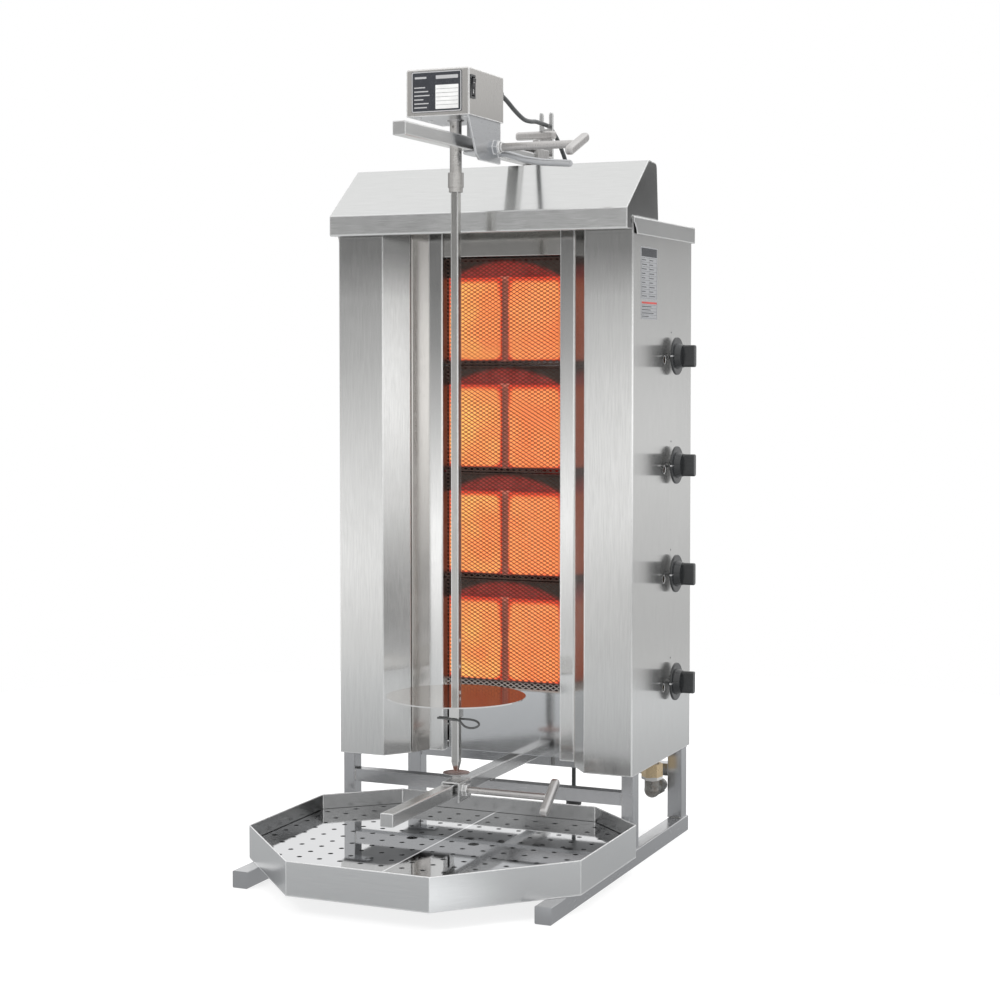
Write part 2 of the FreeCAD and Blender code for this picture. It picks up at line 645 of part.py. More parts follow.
upper_arm = square_tube(arm_x0, arm_x1, arm_y0, up_arm_y1, arm_z0, arm_z1)
upper_arm = upper_arm.cut(cyl(mast_x, up_arm_y1 - 20, arm_z0 - 1, 2.0, 4))
save_all("upper_arm", [upper_arm, cable_fork()])

# clamp screw of the arm sleeve, cross bar along X
save("arm_screw", clamp_screw("Z", (mast_x, mast_y, 0), start=arm_z1 + 3.2, end=1131.0,
                              rod_r=5.0, tip_r=3.0, bar_len=70.0, bar_t=13.0,
                              bar_dir=(1, 0, 0)))
save("arm_pad", cyl(mast_x, mast_y, arm_z1 + 0.05, 7.0, 3.0)
     .cut(cyl(mast_x, mast_y, arm_z1 + 1.5, 3.1, 3)))

# ----------------------------------------------------------- motor carriage
carriage_y, carriage_z = -61.0, 1095.0          # carriage screw axis
grip_y0, grip_y1 = -84, -45                     # the part that rides on the arm


def motor_bracket():
    base = box(-49.9, 49.0, box_y0 + 1.8, box_y1 - 1.8, box_z0, box_z0 + 3)
    side = prism("X", [(-158, box_z0 + 0.5), (-127.0, 1078.7), (-116.5, 1071.2),
                       (-38.4, 1071.2), (-38.4, box_z0 + 0.5)], 46, 49, [0, 4, 4, 2, 0])
    flange = prism("Z", [(9.0, grip_y0), (14, -100), (46.2, -104), (46.2, grip_y1),
                         (9.0, grip_y1)], arm_z0 - 3.6, arm_z0 - 0.6, [1, 2, 0, 0, 1])
    lip = box(9.0, 11.7, grip_y0, grip_y1, arm_z0 - 3.6, arm_z0 + 16)
    block = box(13.5, 30.5, grip_y0, grip_y1, arm_z1 + 0.3, box_z0 + 0.5)
    nut = hexagon(48.8, carriage_y, carriage_z, 19, 8.2, "X")
    handle_y, handle_r = -45, 5.4
    # handle centre line: x, z
    line = [(48.0, 1087.6), (62, 1086.4), (91, 1077.0), (120, 1071.6), (164, 1068.2)]
    path = [(x, handle_y, z) for x, z in line]
    handle = pipe(path, handle_r, 40)
    handle_end = Part.makeSphere(handle_r, V(*path[-1]))
    rivets = [cyl(x, y, box_z0 - 1.6, 3.2, 2.0)
              for x, y in ((-38, -102), (-38, -140), (38, -140), (30, -50), (-38, -50))]
    bracket = fuse([base, side, flange, lip, block, nut, handle, handle_end] + rivets)
    return cut_all(bracket, [cyl(0, spit_y, box_z0 - 5, 13.0, 12),
                             cyl(40, carriage_y, carriage_z, 6.05, 25, "X")])


save("motor_bracket", motor_bracket())

switch_y, switch_z, switch_w, switch_h = -148.6, 1175.5, 17.0, 35.0


def switch_box(x0, x1, half_y, half_z):
    return box(x0, x1, switch_y - half_y, switch_y + half_y,
               switch_z - half_z, switch_z + half_z)


def motor_casing():
    """Box open at the bottom, rounded everywhere but on its lower edges."""
    t = 1.2
    casing = box(-box_hw, box_hw, box_y0, box_y1, box_z0, box_z1)
    upper = [e for e in casing.Edges if not (abs(e.BoundBox.ZMin - box_z0) < 1e-6
                                             and abs(e.BoundBox.ZMax - box_z0) < 1e-6)]
    casing = casing.makeFillet(2.0, upper)
    casing = casing.cut(box(-box_hw + t, box_hw - t, box_y0 + t, box_y1 - t,
                            box_z0 - 1, box_z1 - t))
    return cut_all(casing, [switch_box(45, 60, 6.6, 15.4),
                            cyl(lead_x, box_y1 - 5, lead_z, 5.2, 10, "Y")])


save("motor_casing", motor_casing())

gear_motor = fuse([box(-36, 36, -140, -58, 1140.5, 1171), cyl(-2, spit_y, 1171, 27, 28)])
save("gear_motor", gear_motor.cut(cyl(0, spit_y, 1139, shaft_r + 0.05, 30.5)))

bushing = cyl(0, spit_y, box_z0 - 1.2, 12.9, 5.2).fuse(cyl(0, spit_y, box_z0 - 2.2, 11.0, 2.0))
save("shaft_bushing", bushing.cut(cyl(0, spit_y, box_z0 - 4, shaft_r + 0.06, 12))
     .removeSplitter())

bezel = round_along(switch_box(box_hw, box_hw + 1.4, switch_w / 2, switch_h / 2), "X", 2.0)
bezel = bezel.fuse(switch_box(42.5, box_hw + 0.6, 6.5, 15.3))
save("switch_bezel", bezel.cut(switch_box(44, 60, 5.6, 14.4)).removeSplitter())

# rocker: two faces meeting at a shallow ridge, pivots about Y
rocker = prism("Y", [(48.0, switch_z - 12.6), (box_hw + 1.2, switch_z - 12.6),
                     (box_hw + 2.2, switch_z), (box_hw + 3.9, switch_z + 12.0),
                     (48.6, switch_z + 12.4), (46.2, switch_z)],
               switch_y - 5.3, switch_y + 5.3, [1, 1, 2, 1, 1, 2])
save("switch_rocker", fuse([rocker, cyl(48.6, switch_y - 5.5, switch_z, 1.4, 11.0, "Y")]))
save("motor_plate", rounded_plate("Y", -42, 39.5, 1139.5, 1199.8, box_y0 - 0.8, box_y0, 2.5))

# cable: one lead rides with the box, the rest is held by the fork
lead = pipe([(lead_x, box_y1 - 9, lead_z), (lead_x, box_y1 + 6, lead_z), (40, 40, 1164)],
            cable_r, 22)
gland = hexagon(lead_x, box_y1 + 0.1, lead_z, 13, 5, "Y")
gland = gland.cut(cyl(lead_x, box_y1 - 1, lead_z, 3.6, 8, "Y"))
save_all("cable_lead", [lead.removeSplitter(), gland])


def mains_plug():
    body = fuse([cyl(plug_x, plug_y, 22, 8.5, 16), cone(plug_x, plug_y, 38, 8.5, 4.4, 12),
                 cyl(plug_x, plug_y, 17, plug_r, 9)])
    body = body.cut(cyl(plug_x, plug_y, 45.0, 3.6, 20))
    return fuse([body] + [cyl(plug_x + dx, plug_y, 1, 2.4, 17) for dx in (-9.5, 9.5)])


cable = pipe([(29, 150, 1158.4), (22, 200, 1159.4), (22, 240, 1157), (30, 300, 1100),
              (plug_x, plug_y, 960), (plug_x, plug_y, 46)], cable_r, 16)
save_all("power_cable", [cable, mains_plug()])

save("carriage_screw", clamp_screw("X", (0, carriage_y, carriage_z), start=arm_x1 + 3.3,
                                   end=177.0, rod_r=6.0, tip_r=3.2, bar_len=79.0,
                                   bar_t=12.0, bar_dir=(0, 0.927, 0.375)))
save("carriage_pad", cyl(arm_x1 + 0.05, carriage_y, carriage_z, 7.0, 3.0, "X")
     .cut(cyl(arm_x1 + 1.5, carriage_y, carriage_z, 3.3, 3, "X")))


# ----------------------------------------------------------------- spindle
def spit_box(half, z0, z1):
    return box(-half, half, spit_y - half, spit_y + half, z0, z1)


drive_shaft = cyl(0, spit_y, coupling_z, shaft_r, 1168.0 - coupling_z)
drive_shaft = drive_shaft.cut(spit_box(spit_hw + 0.02, 1030, 1062))
save("drive_shaft", drive_shaft.cut(cyl(0, spit_y - 12, 1124, 2.0, 6, "Y")))


def spit_square(half, z):
    corners = ((-1, -1), (1, -1), (1, 1), (-1, 1), (-1, -1))
    return Part.makePolygon([V(a * half, spit_y + b * half, z) for a, b in corners])


def spit_rod():
    """Square rod with a tapered lower tip and four cross holes for the clip."""
    rod = spit_box(spit_hw, 163.0, 1061.0)
    rod = rod.makeChamfer(0.8, [e for e in rod.Edges if is_along(e, "Z")])
    tip = Part.makeLoft([spit_square(spit_hw, 163.2), spit_square(2.6, 146.6)], True)
    return cut_all(fuse([rod, tip]),
                   [cyl(-10, spit_y, clip_z + 40 * i, 2.05, 20, "X") for i in range(4)])


save("spit_rod", spit_rod())

sleeve = fuse([cyl(0, spit_y, coupling_z, 12.0, 22.4), cyl(0, spit_y, 1026.3, 10.6, 7.2)])
save("coupling_sleeve", sleeve.cut(cyl(0, spit_y, 1025, shaft_r + 0.05, 32)))

disc = fuse([cyl(0, spit_y, disc_z, disc_r, disc_t), spit_box(8.2, clip_z + 2.2, disc_z + 0.5)])
save("spit_disc", disc.cut(spit_box(spit_hw + 0.06, clip_z - 1, disc_z + 5)))

# spring clip: straight leg through the spit, shaped leg in front of it
# x, y from the spit axis, z from the clip hole
clip_path = [(-29, 0, 0), (25, 0, 0), (35, -2.5, -1.0), (41.5, -6.5, -6.0),
             (34, -9.5, -11.0), (21, -10.5, -10.0), (10, -8.6, -1.2), (-8, -8.6, -0.6),
             (-16, -8.3, 0.3), (-28, -8.0, 0.35)]
save("disc_clip", pipe([(x, spit_y + y, clip_z + z) for x, y, z in clip_path], 1.7, 2.6))

# ------------------------------------------------------------- lower pivot
low_screw_y, low_screw_z = -104.0, 122.0
clamp_top = low_arm_z0 + 23.5


def lower_clamp():
    """Saddle over the lower arm, with the clamp screw's nut on its right side."""
    clamp = sheet("Y", [(-13.0, 105), (-13.0, clamp_top), (17.0, clamp_top), (17.0, 105)],
                  -2.5, -122, -78)
    clamp = fuse([clamp, hexagon(16.9, low_screw_y, low_screw_z, 17, 7.5, "X")])
    return cut_all(clamp, [cyl(12, low_screw_y, low_screw_z, 5.05, 20, "X"),
                           cyl(0, spit_y, low_arm_z0 + 18, 4.05, 10)])


def pivot_cup():
    """Shallow dished cup on a hexagonal stud, it carries the spit tip."""
    z = low_arm_z0
    cup = fuse([cyl(0, spit_y, z + 21.2, 4.0, 9), hexagon(0, spit_y, z + 23.6, 13, 4.6),
                cyl(0, spit_y, z + 28, 5.0, 3.2), cone(0, spit_y, z + 30.6, 9, 20.5, 1.6),
                cyl(0, spit_y, z + 32.2, 20.5, 1.2)])
    return cut_all(cup, [cone(0, spit_y, z + 32.2, 4.2, 19.3, 1.3),
                         cyl(0, spit_y, z + 31.8, 4.2, 3)])


save("lower_clamp", lower_clamp())
save("pivot_cup", pivot_cup())
save("lower_screw", clamp_screw("X", (0, low_screw_y, low_screw_z), start=13.3, end=151.0,
                                rod_r=5.0, tip_r=3.0, bar_len=68.0, bar_t=12.0,
                                bar_dir=(0, 0.788, 0.615)))
save("lower_pad", cyl(10.05, low_screw_y, low_screw_z, 6.0, 3.0, "X")
     .cut(cyl(11.5, low_screw_y, low_screw_z, 3.1, 3, "X")))


# -------------------------------------------------------------- drip tray
def octagon(inset=0.0):
    side, front, rear = tray_hw, tray_front_hw, tray_rear_hw
    y0, y1, y2, y3 = tray_y
    points = [(-front, y0), (front, y0), (side, y1), (side, y2),
              (rear, y3), (-rear, y3), (-side, y2), (-side, y1)]
    return offset_poly([points[-1]] + points + [points[0]], inset)[1:-1]


tray = prism("Z", octagon(), tray_z0, tray_z1, [1.6] * 8)
save("drip_tray", tray.cut(prism("Z", octagon(tray_t), tray_z0 + tray_t, tray_z1 + 1,
                                 [0.8] * 8)))

seam_x = -2.0                           # joint between the two perforated plates
seam_gap, rib_t = 0.4, 1.2              # half the gap; rib along the joint


def perforated_plate():
    """Both halves in one: a skirted plate with small holes and two finger holes."""
    plate = prism("Z", octagon(3.0), tray_z0 + 1.5, perf_z + 1.0)
    plate = plate.cut(prism("Z", octagon(4.2), tray_z0 - 1, perf_z))
    field = prism("Z", octagon(12.0), perf_z - 1, perf_z + 2)
    fingers = [(seam_x - 48.5, -146.2), (seam_x + 53.5, -146.2)]
    holes = []
    for i in range(-8, 9):
        for j in range(-13, 12):
            x = seam_x + perf_px / 2 + perf_px * i
            y = -144.0 + perf_py * j
            clear = all(math.hypot(x - fx, y - fy) > 16 for fx, fy in fingers)
            if clear and field.isInside(V(x, y, perf_z), 1e-3, True):
                holes.append(cyl(x, y, perf_z - 2, perf_hole_r, 6))
    return cut_all(plate, holes + [cyl(x, y, perf_z - 2, 8.5, 6) for x, y in fingers])


plate = perforated_plate()
left_x, right_x = seam_x - seam_gap, seam_x + seam_gap
# side, x range of the half, x range of its rib
for side, half_x, rib_x in (("left", (-300, left_x), (left_x - rib_t, left_x)),
                            ("right", (right_x, 300), (right_x, right_x + rib_t))):
    half = plate.common(box(*half_x, -500, 100, 0, 100))
    rib = box(*rib_x, tray_y[0] + 4, tray_y[3] - 4, tray_z0 + 1.5, perf_z + 0.4)
    save("perforated_plate_" + side, half.fuse(rib).removeSplitter())

# ------------------------------------------------------------ label plates
labels = [(34, 110, 866.0, 946.5), (35, 110.5, 836.0, 864.6)]      # y0, y1, z0, z1
save_all("rating_plates", [rounded_plate("X", *label, body_hw, body_hw + 0.5, 1.5)
                           for label in labels])
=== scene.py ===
"""An upright spit grill. Four gas burners stand one above another in a tall steel casing on a tube
frame. The spit stands in front of them, on a disc below and under a motor box above.

X runs to the right, Y to the back and Z up; the front faces -Y. Pieces are drawn in mm from the
drawing datum: X 0 is the body's middle plane, Y 0 its front face, Z 0 the floor. Shader
coordinates are in metres unless a comment says otherwise.
"""
import bpy
import math
import random
import numpy as np
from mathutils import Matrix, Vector

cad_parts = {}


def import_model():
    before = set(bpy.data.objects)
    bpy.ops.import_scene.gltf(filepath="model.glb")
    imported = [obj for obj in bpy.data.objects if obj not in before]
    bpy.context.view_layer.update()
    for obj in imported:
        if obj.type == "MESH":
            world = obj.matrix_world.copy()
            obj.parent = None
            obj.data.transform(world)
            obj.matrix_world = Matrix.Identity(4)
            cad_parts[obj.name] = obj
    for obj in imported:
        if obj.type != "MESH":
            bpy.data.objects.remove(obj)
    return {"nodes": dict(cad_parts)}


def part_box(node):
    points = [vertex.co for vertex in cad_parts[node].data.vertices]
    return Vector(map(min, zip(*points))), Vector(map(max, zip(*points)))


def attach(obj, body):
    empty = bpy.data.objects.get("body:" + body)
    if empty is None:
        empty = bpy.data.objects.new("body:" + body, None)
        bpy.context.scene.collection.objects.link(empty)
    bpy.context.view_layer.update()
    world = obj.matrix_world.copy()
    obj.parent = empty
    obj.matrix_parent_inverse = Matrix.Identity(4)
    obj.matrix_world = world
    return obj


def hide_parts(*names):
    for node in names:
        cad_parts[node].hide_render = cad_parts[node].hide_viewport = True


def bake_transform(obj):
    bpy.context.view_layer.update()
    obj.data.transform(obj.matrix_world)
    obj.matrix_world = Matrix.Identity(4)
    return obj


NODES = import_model()["nodes"]
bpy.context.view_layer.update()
random.seed(7)

# ---------------------------------------------------------------- datum and main dimensions
_low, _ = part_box("casing_left")
_, _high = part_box("casing_right")
DATUM_X, DATUM_Y = (_low.x + _high.x) / 2, _low.y  # metres

# from here on in mm
BURNER_PITCH = 171.5
BURNER_BOTTOM = 251.0       # lowest burner
TILE_BOTTOM = 259.0         # lower edge of the lowest plaques
GUARD_HALF_WIDTH = 100.7
GUARD_FRONT = 80.9
DIAMOND_WIDTH, DIAMOND_HEIGHT = 10.4, 6.17  # one opening of the expanded metal
PANEL_X = 250.0             # right panel
LABEL_X = 250.5             # face of the labels on it
KNOB_Y = 183.0
KNOB_HEIGHTS = (260.0, 433.3, 606.7, 780.0)
PLATE_Y = -160.8            # front face of the motor box's plate
PLATE_ROW = 5.87            # row pitch on that plate
PLATE_FIELD_X = 15.8        # middle of its white field
GLAND_X, GLAND_Z = 42, 1180
PLUG_X, PLUG_Y = 38, 303
ROCKER_X, ROCKER_Y = 51.5, -148.6

X_AXIS, Y_AXIS, Z_AXIS = (1, 0, 0), (0, 1, 0), (0, 0, 1)
ON_FRONT = (X_AXIS, Z_AXIS, Y_AXIS)  # box axes: across, up, thickness
ON_SIDE = (Y_AXIS, Z_AXIS, X_AXIS)


def place(x, y, z):
    """A datum point in mm as a scene point in metres."""
    return Vector((x / 1000 + DATUM_X, y / 1000 + DATUM_Y, z / 1000))


# ---------------------------------------------------------------- shader graphs
def binary(kind, flip=False):
    def apply(self, other):
        return self.graph.math(kind, *((other, self) if flip else (self, other)))
    return apply


class Field:
    """A node's output that can be added, scaled and compared like a number."""

    def __init__(self, graph, socket):
        self.graph, self.socket = graph, socket

    __add__ = binary("ADD")
    __sub__ = binary("SUBTRACT")
    __rsub__ = binary("SUBTRACT", flip=True)
    __mul__ = binary("MULTIPLY")
    __truediv__ = binary("DIVIDE")
    __mod__ = binary("FLOORED_MODULO")
    __gt__ = binary("GREATER_THAN")
    __lt__ = binary("LESS_THAN")

    def __abs__(self):
        return self.graph.math("ABSOLUTE", self)

    def sibling(self, name):
        """Another output of the same node."""
        return Field(self.graph, self.socket.node.outputs[name])


class Graph:
    """A node tree. Its methods add nodes and return their outputs as Fields."""

    def __init__(self, tree, output_kind, coords):
        self.tree = tree
        tree.nodes.clear()
        self.output = tree.nodes.new(output_kind)
        self.coords = self.node("ShaderNodeTexCoord", {}, out=coords)

    def put(self, socket, value):
        if isinstance(value, Field):
            self.tree.links.new(value.socket, socket)
        elif socket.type == "RGBA":
            socket.default_value = (*value, 1)
        else:
            socket.default_value = value

    def node(self, kind, inputs, out=0, **settings):
        made = self.tree.nodes.new(kind)
        for key, value in settings.items():
            setattr(made, key, value)
        for key, value in inputs.items():
            self.put(made.inputs[key], value)
        return Field(self, made.outputs[out])

    def math(self, kind, *values):
        return self.node("ShaderNodeMath", dict(enumerate(values)), operation=kind)

    def vector(self, kind, *values, out=0):
        return self.node("ShaderNodeVectorMath", dict(enumerate(values)), out, operation=kind)

    def length(self, a, b):
        return self.math("SQRT", a * a + b * b)

    def xyz(self, vector=None):
        x = self.node("ShaderNodeSeparateXYZ", {0: vector or self.coords}, out="X")
        return x, x.sibling("Y"), x.sibling("Z")

    def normal(self):
        return self.node("ShaderNodeNewGeometry", {}, out="Normal")

    def noise(self, scale, vector=None, detail=3, rough=0.6, distortion=0):
        return self.node("ShaderNodeTexNoise", {
            "Vector": vector or self.coords, "Scale": scale, "Detail": detail,
            "Roughness": rough, "Distortion": distortion})

    def remap(self, value, span=(0.3, 0.7), to=(0, 1), smooth=False):
        """Takes the span to the range `to`, held at its ends. Noise mostly spans 0.3 to 0.7."""
        return self.node("ShaderNodeMapRange", dict(enumerate((value, *span, *to))),
                         interpolation_type="SMOOTHSTEP" if smooth else "LINEAR")

    def mix(self, factor, first, second, mode="MIX"):
        return self.node("ShaderNodeMix", {0: factor, 6: first, 7: second}, out=2,
                         data_type="RGBA", blend_type=mode)

    def mix_numbers(self, factor, first, second):
        return self.node("ShaderNodeMix", {0: factor, 2: first, 3: second}, data_type="FLOAT")

    def ramp(self, factor, stops):
        """Greys by position."""
        grey = self.node("ShaderNodeValToRGB", {0: factor})
        elements = grey.socket.node.color_ramp.elements
        while len(elements) < len(stops):
            elements.new(0.5)
        for i, (position, value) in enumerate(stops):
            elements[i].position = position
            elements[i].color = (value, value, value, 1)
        return grey

    def bump(self, height, strength, distance, normal=None):
        inputs = {"Strength": strength, "Distance": distance, "Height": height}
        if normal:
            inputs["Normal"] = normal
        return self.node("ShaderNodeBump", inputs)


MATERIALS = {}


class Material(Graph):
    """A material with one Principled shader, kept in MATERIALS under its name."""

    def __init__(self, name):
        block = bpy.data.materials.new(name)
        block.use_nodes = True
        super().__init__(block.node_tree, "ShaderNodeOutputMaterial", "Object")
        self.shader = self.node("ShaderNodeBsdfPrincipled", {})
        self.put(self.output.inputs[0], self.shader)
        MATERIALS[name] = block

    def set(self, **values):
        """Sets shader inputs; base_color stands for Base Color."""
        for key, value in values.items():
            label = key.replace("_", " ").title().replace("Ior", "IOR")
            self.put(self.shader.socket.node.inputs[label], value)


def srgb(*channels):
    """8-bit display colour to linear."""
    return tuple(
        v / 255 / 12.92 if v / 255 <= 0.04045 else ((v / 255 + 0.055) / 1.055) ** 2.4
        for v in channels)


def scaled(color, factor):
    return [v * factor for v in color]


# ---------------------------------------------------------------- sheet, bar and plastic finishes
WHITE = (1, 1, 1)
# noise cycles per metre: few along the grain, many across; H runs level round a piece
GRAIN = {"X": (45, 1300, 1300), "Y": (1300, 45, 1300), "Z": (1300, 1300, 45), "H": (45, 45, 1300)}
# axes tilted a little, so their cross product with a face's normal never vanishes
TILTED_AXIS = {"X": (1, 0.011, 0.017), "Y": (0.013, 1, 0.019), "Z": (0.012, 0.015, 1)}


def grain_vector(mat, axis):
    return mat.vector("MULTIPLY", mat.coords, GRAIN[axis])


def tube_streaks(mat):
    """Grain along each tube: Y in the runners, X in the cross tubes, Z in the uprights."""
    _, _, z = mat.xyz()
    runner = z < 0.0262
    cross_tube = (z > 0.0915) * (z < 0.1125)
    along = {axis: mat.noise(1, grain_vector(mat, axis), detail=4) for axis in "YXZ"}
    return mat.mix_numbers(cross_tube, mat.mix_numbers(runner, along["Z"], along["Y"]), along["X"])


def brushed(name, color, axis, rough, aniso, relief, tint, smudge, edge,
            wave=0, painted_cheek_shade=0, top=0, painted_upper_shade=0, inner=None):
    """Brushed or satin sheet: streaks along the grain and faint wiping marks. The last row of
    arguments adds waviness and painted shade: it darkens right faces, high front faces,
    the upper part, or the faces turned towards the upright axis at inner."""
    mat = Material(name)
    if axis == "tubes":
        streaks = tint_streaks = tube_streaks(mat)
    else:
        vector = grain_vector(mat, axis)
        streaks = mat.noise(1, vector, detail=4)
        tint_streaks = mat.noise(0.62, vector, detail=2, rough=0.5)
    patches = mat.noise(7)
    wipes = mat.noise(46, detail=4, rough=0.65, distortion=0.6)
    roughness = (mat.remap(streaks, to=rough)
                 + mat.remap(patches, (0.35, 0.7), to=(-0.02 * smudge, 0.10 * smudge))
                 + mat.remap(wipes, (0.45, 0.75), to=(0, 0.035 * smudge)))

    shade = mat.mix(mat.remap(tint_streaks), scaled(color, 1 - tint), scaled(color, 1 + tint))
    wiped = (color[0] * 0.8, color[1] * 0.78, color[2] * 0.75)
    shade = mat.mix(mat.remap(wipes, (0.55, 0.8), to=(0, 0.07 * smudge)), shade, wiped)
    if painted_cheek_shade:
        # painted shade: faces turned to the right are darkened
        rightward = mat.xyz(mat.normal())[0]
        shade = mat.mix(mat.remap(rightward, (0.85, 0.97), to=(0, painted_cheek_shade)), shade,
                        scaled(color, 0.30))
    if top:
        # painted shade: front faces near the top, under the hood's overhang, are darkened
        high = mat.remap(mat.xyz()[2], (0.87, 0.945), to=(0, top))
        front = mat.remap(mat.xyz(mat.normal())[1], (-0.3, -0.1), to=(1, 0))
        shade = mat.mix(high * front, shade, scaled(color, 0.3))
    if painted_upper_shade:
        # painted shade: the sheet is darker towards the top
        shade = mat.mix(mat.remap(mat.xyz()[2], (0.50, 0.80), to=(0, painted_upper_shade)), shade,
                        scaled(color, 0.45))
    if inner:
        # painted shade: faces turned towards the upright axis, such as the tray's inner walls, are
        # darkened
        flat = mat.vector("MULTIPLY", mat.coords, (1, 1, 0))
        to_axis = mat.vector("SUBTRACT", (*inner, 0), flat)
        inward = mat.vector("DOT_PRODUCT", mat.normal(), to_axis, out="Value")
        shade = mat.mix(mat.remap(inward, (0.01, 0.05), to=(0, 0.6)), shade, scaled(color, 0.35))
    rounded = None
    if edge:
        # painted highlight: edges get a lighter colour and a faint white glow where the bevelled
        # normal leaves the true one
        rounded = mat.node("ShaderNodeBevel", {"Radius": 0.0026}, samples=4)
        match = mat.vector("DOT_PRODUCT", rounded, mat.normal(), out="Value")
        painted_edge_glint = mat.remap(match, (0.996, 0.955), to=(0, edge))
        shade = mat.mix(painted_edge_glint, shade, (0.95, 0.95, 0.95))
        mat.set(emission_color=WHITE, emission_strength=painted_edge_glint * 0.42)
    if aniso:
        normal = mat.normal()
        along = TILTED_AXIS["Z" if axis == "H" else axis]
        if axis == "H":
            along = mat.vector("CROSS_PRODUCT", along, normal)
        mat.set(anisotropic=aniso, tangent=mat.vector("CROSS_PRODUCT", normal, along))
    surface = mat.bump(streaks, strength=relief * 0.08, distance=0.00005, normal=rounded)
    if wave:
        surface = mat.bump(mat.noise(3.2, detail=1, rough=0.4), strength=wave, distance=0.004,
                           normal=surface)
    mat.set(base_color=shade, metallic=1, roughness=roughness, normal=surface)


def mirror(name, color, rough, axis, wave, smudge=0.5, dish=0):
    """Polished sheet: fine polishing lines, slight waviness and dull patches. dish turns its
    normals towards the front."""
    mat = Material(name)
    lines = mat.noise(0.7, grain_vector(mat, axis))
    patches = mat.noise(11, detail=4, distortion=0.8)
    spots = mat.noise(160, rough=0.7)
    roughness = (mat.remap(lines, to=rough)
                 + mat.remap(patches, (0.45, 0.75), to=(0, 0.07 * smudge))
                 + mat.remap(spots, (0.62, 0.72), to=(0, 0.08 * smudge)))
    surface = mat.bump(lines, strength=0.05, distance=0.00005)
    surface = mat.bump(mat.noise(4, detail=1.5, rough=0.4), strength=wave, distance=0.003,
                       normal=surface)
    if dish:
        surface = mat.vector("NORMALIZE", mat.vector("ADD", surface, (0, -dish, 0)))
    mat.set(roughness=roughness, metallic=1, normal=surface,
            base_color=mat.mix(mat.remap(patches), scaled(color, 0.98), scaled(color, 1.02)))
    return mat


def turned(name, color, rough, axis, patina=0.15, metallic=1):
    """Turned or drawn bar: fine rings or draw lines, a little patina, painted shade at the rims
    and a painted highlight facing the view.
    """
    mat = Material(name)
    lines = mat.noise(1.2, grain_vector(mat, axis), detail=4)
    patches = mat.noise(38, detail=4, distortion=0.5)
    facing = mat.node("ShaderNodeLayerWeight", {"Blend": 0.5}, out="Facing")
    bright = [min(1, v) for v in scaled(color, 1.45)]
    shade = mat.mix(mat.remap(patches, (0.35, 0.75), to=(0, patina)), color, scaled(color, 0.55))
    # painted shade: darker rims where the surface turns away from the view
    shade = mat.mix(mat.remap(facing, (0.22, 0.80), to=(0, 0.72)), shade, scaled(color, 0.25))
    # painted highlight: lighter where the surface faces the view
    shade = mat.mix(mat.remap(facing, (0.02, 0.20), to=(0.6, 0)), shade, bright)
    mat.set(base_color=shade, metallic=metallic,
            roughness=mat.remap(lines, to=rough) + mat.remap(patches, (0.5, 0.8), to=(0, 0.08)),
            normal=mat.bump(lines, strength=0.075, distance=0.00005))


def plastic(name, color, rough, relief=0.3, scale=900):
    """Moulded plastic with a fine texture and shinier patches."""
    mat = Material(name)
    texture = mat.noise(scale)
    patches = mat.noise(24)
    mat.set(roughness=mat.remap(texture, to=rough)
            + mat.remap(patches, (0.4, 0.8), to=(-0.05, 0.06)),
            base_color=mat.mix(mat.remap(patches), scaled(color, 0.85), scaled(color, 1.25)),
            normal=mat.bump(texture, strength=relief, distance=0.00008),
            specular_ior_level=0.8)


# name, colour, grain, roughness range, anisotropy, relief, tint, smudges, painted edge highlight
BRUSHED = (
    ("casing", (0.745, 0.745, 0.735), "Z", (0.15, 0.22), 0.8, 0.4, 0.035, 0.3, 0.6),
    ("roof", (0.715, 0.72, 0.715), "X", (0.16, 0.24), 0.7, 0.45, 0.03, 0.3, 0.5),
    ("hood", (0.715, 0.72, 0.715), "X", (0.12, 0.19), 0.7, 0.45, 0.03, 0.3, 0.5),
    ("rail", (0.85, 0.85, 0.84), "Z", (0.10, 0.15), 0.8, 0.4, 0.03, 0.3, 0.8),
    ("frame", (0.555, 0.56, 0.57), "tubes", (0.17, 0.26), 0, 0.35, 0.03, 0.4, 0),
    ("arm", (0.66, 0.66, 0.655), "Y", (0.16, 0.24), 0.3, 0.3, 0.03, 0.4, 0.6),
    ("mast", (0.60, 0.59, 0.58), "Z", (0.22, 0.34), 0.3, 0.5, 0.04, 0.6, 0),
    ("plain", (0.58, 0.58, 0.57), "X", (0.25, 0.36), 0, 0.4, 0.04, 0.8, 0),
    # the base pan's steel is darkened as painted shade
    ("pan", (0.30, 0.30, 0.30), "X", (0.32, 0.46), 0, 0.4, 0.05, 0.8, 0),
    ("box", (0.59, 0.575, 0.555), "Z", (0.22, 0.27), 0.3, 0.12, 0.02, 0.25, 0.9),
    ("bracket", (0.58, 0.59, 0.605), "Y", (0.25, 0.36), 0.2, 0.45, 0.03, 0.5, 0.5),
    ("spit", (0.52, 0.515, 0.50), "Z", (0.14, 0.22), 0.3, 0.25, 0.03, 0.4, 0.5),
    ("clamp", (0.62, 0.62, 0.615), "Y", (0.20, 0.32), 0, 0.4, 0.04, 0.6, 0.5),
    ("bar", (0.58, 0.565, 0.555), "Z", (0.24, 0.34), 0, 0.3, 0.04, 0.4, 0.5),
    ("tray", (0.79, 0.795, 0.795), "H", (0.18, 0.24), 0.6, 0.25, 0.02, 0.3, 0.8),
    ("silver_ink", (0.80, 0.80, 0.81), "X", (0.30, 0.40), 0, 0.15, 0.02, 0.3, 0),
    ("foil", (0.66, 0.67, 0.69), "X", (0.32, 0.42), 0, 0.2, 0.02, 0.4, 0),
)
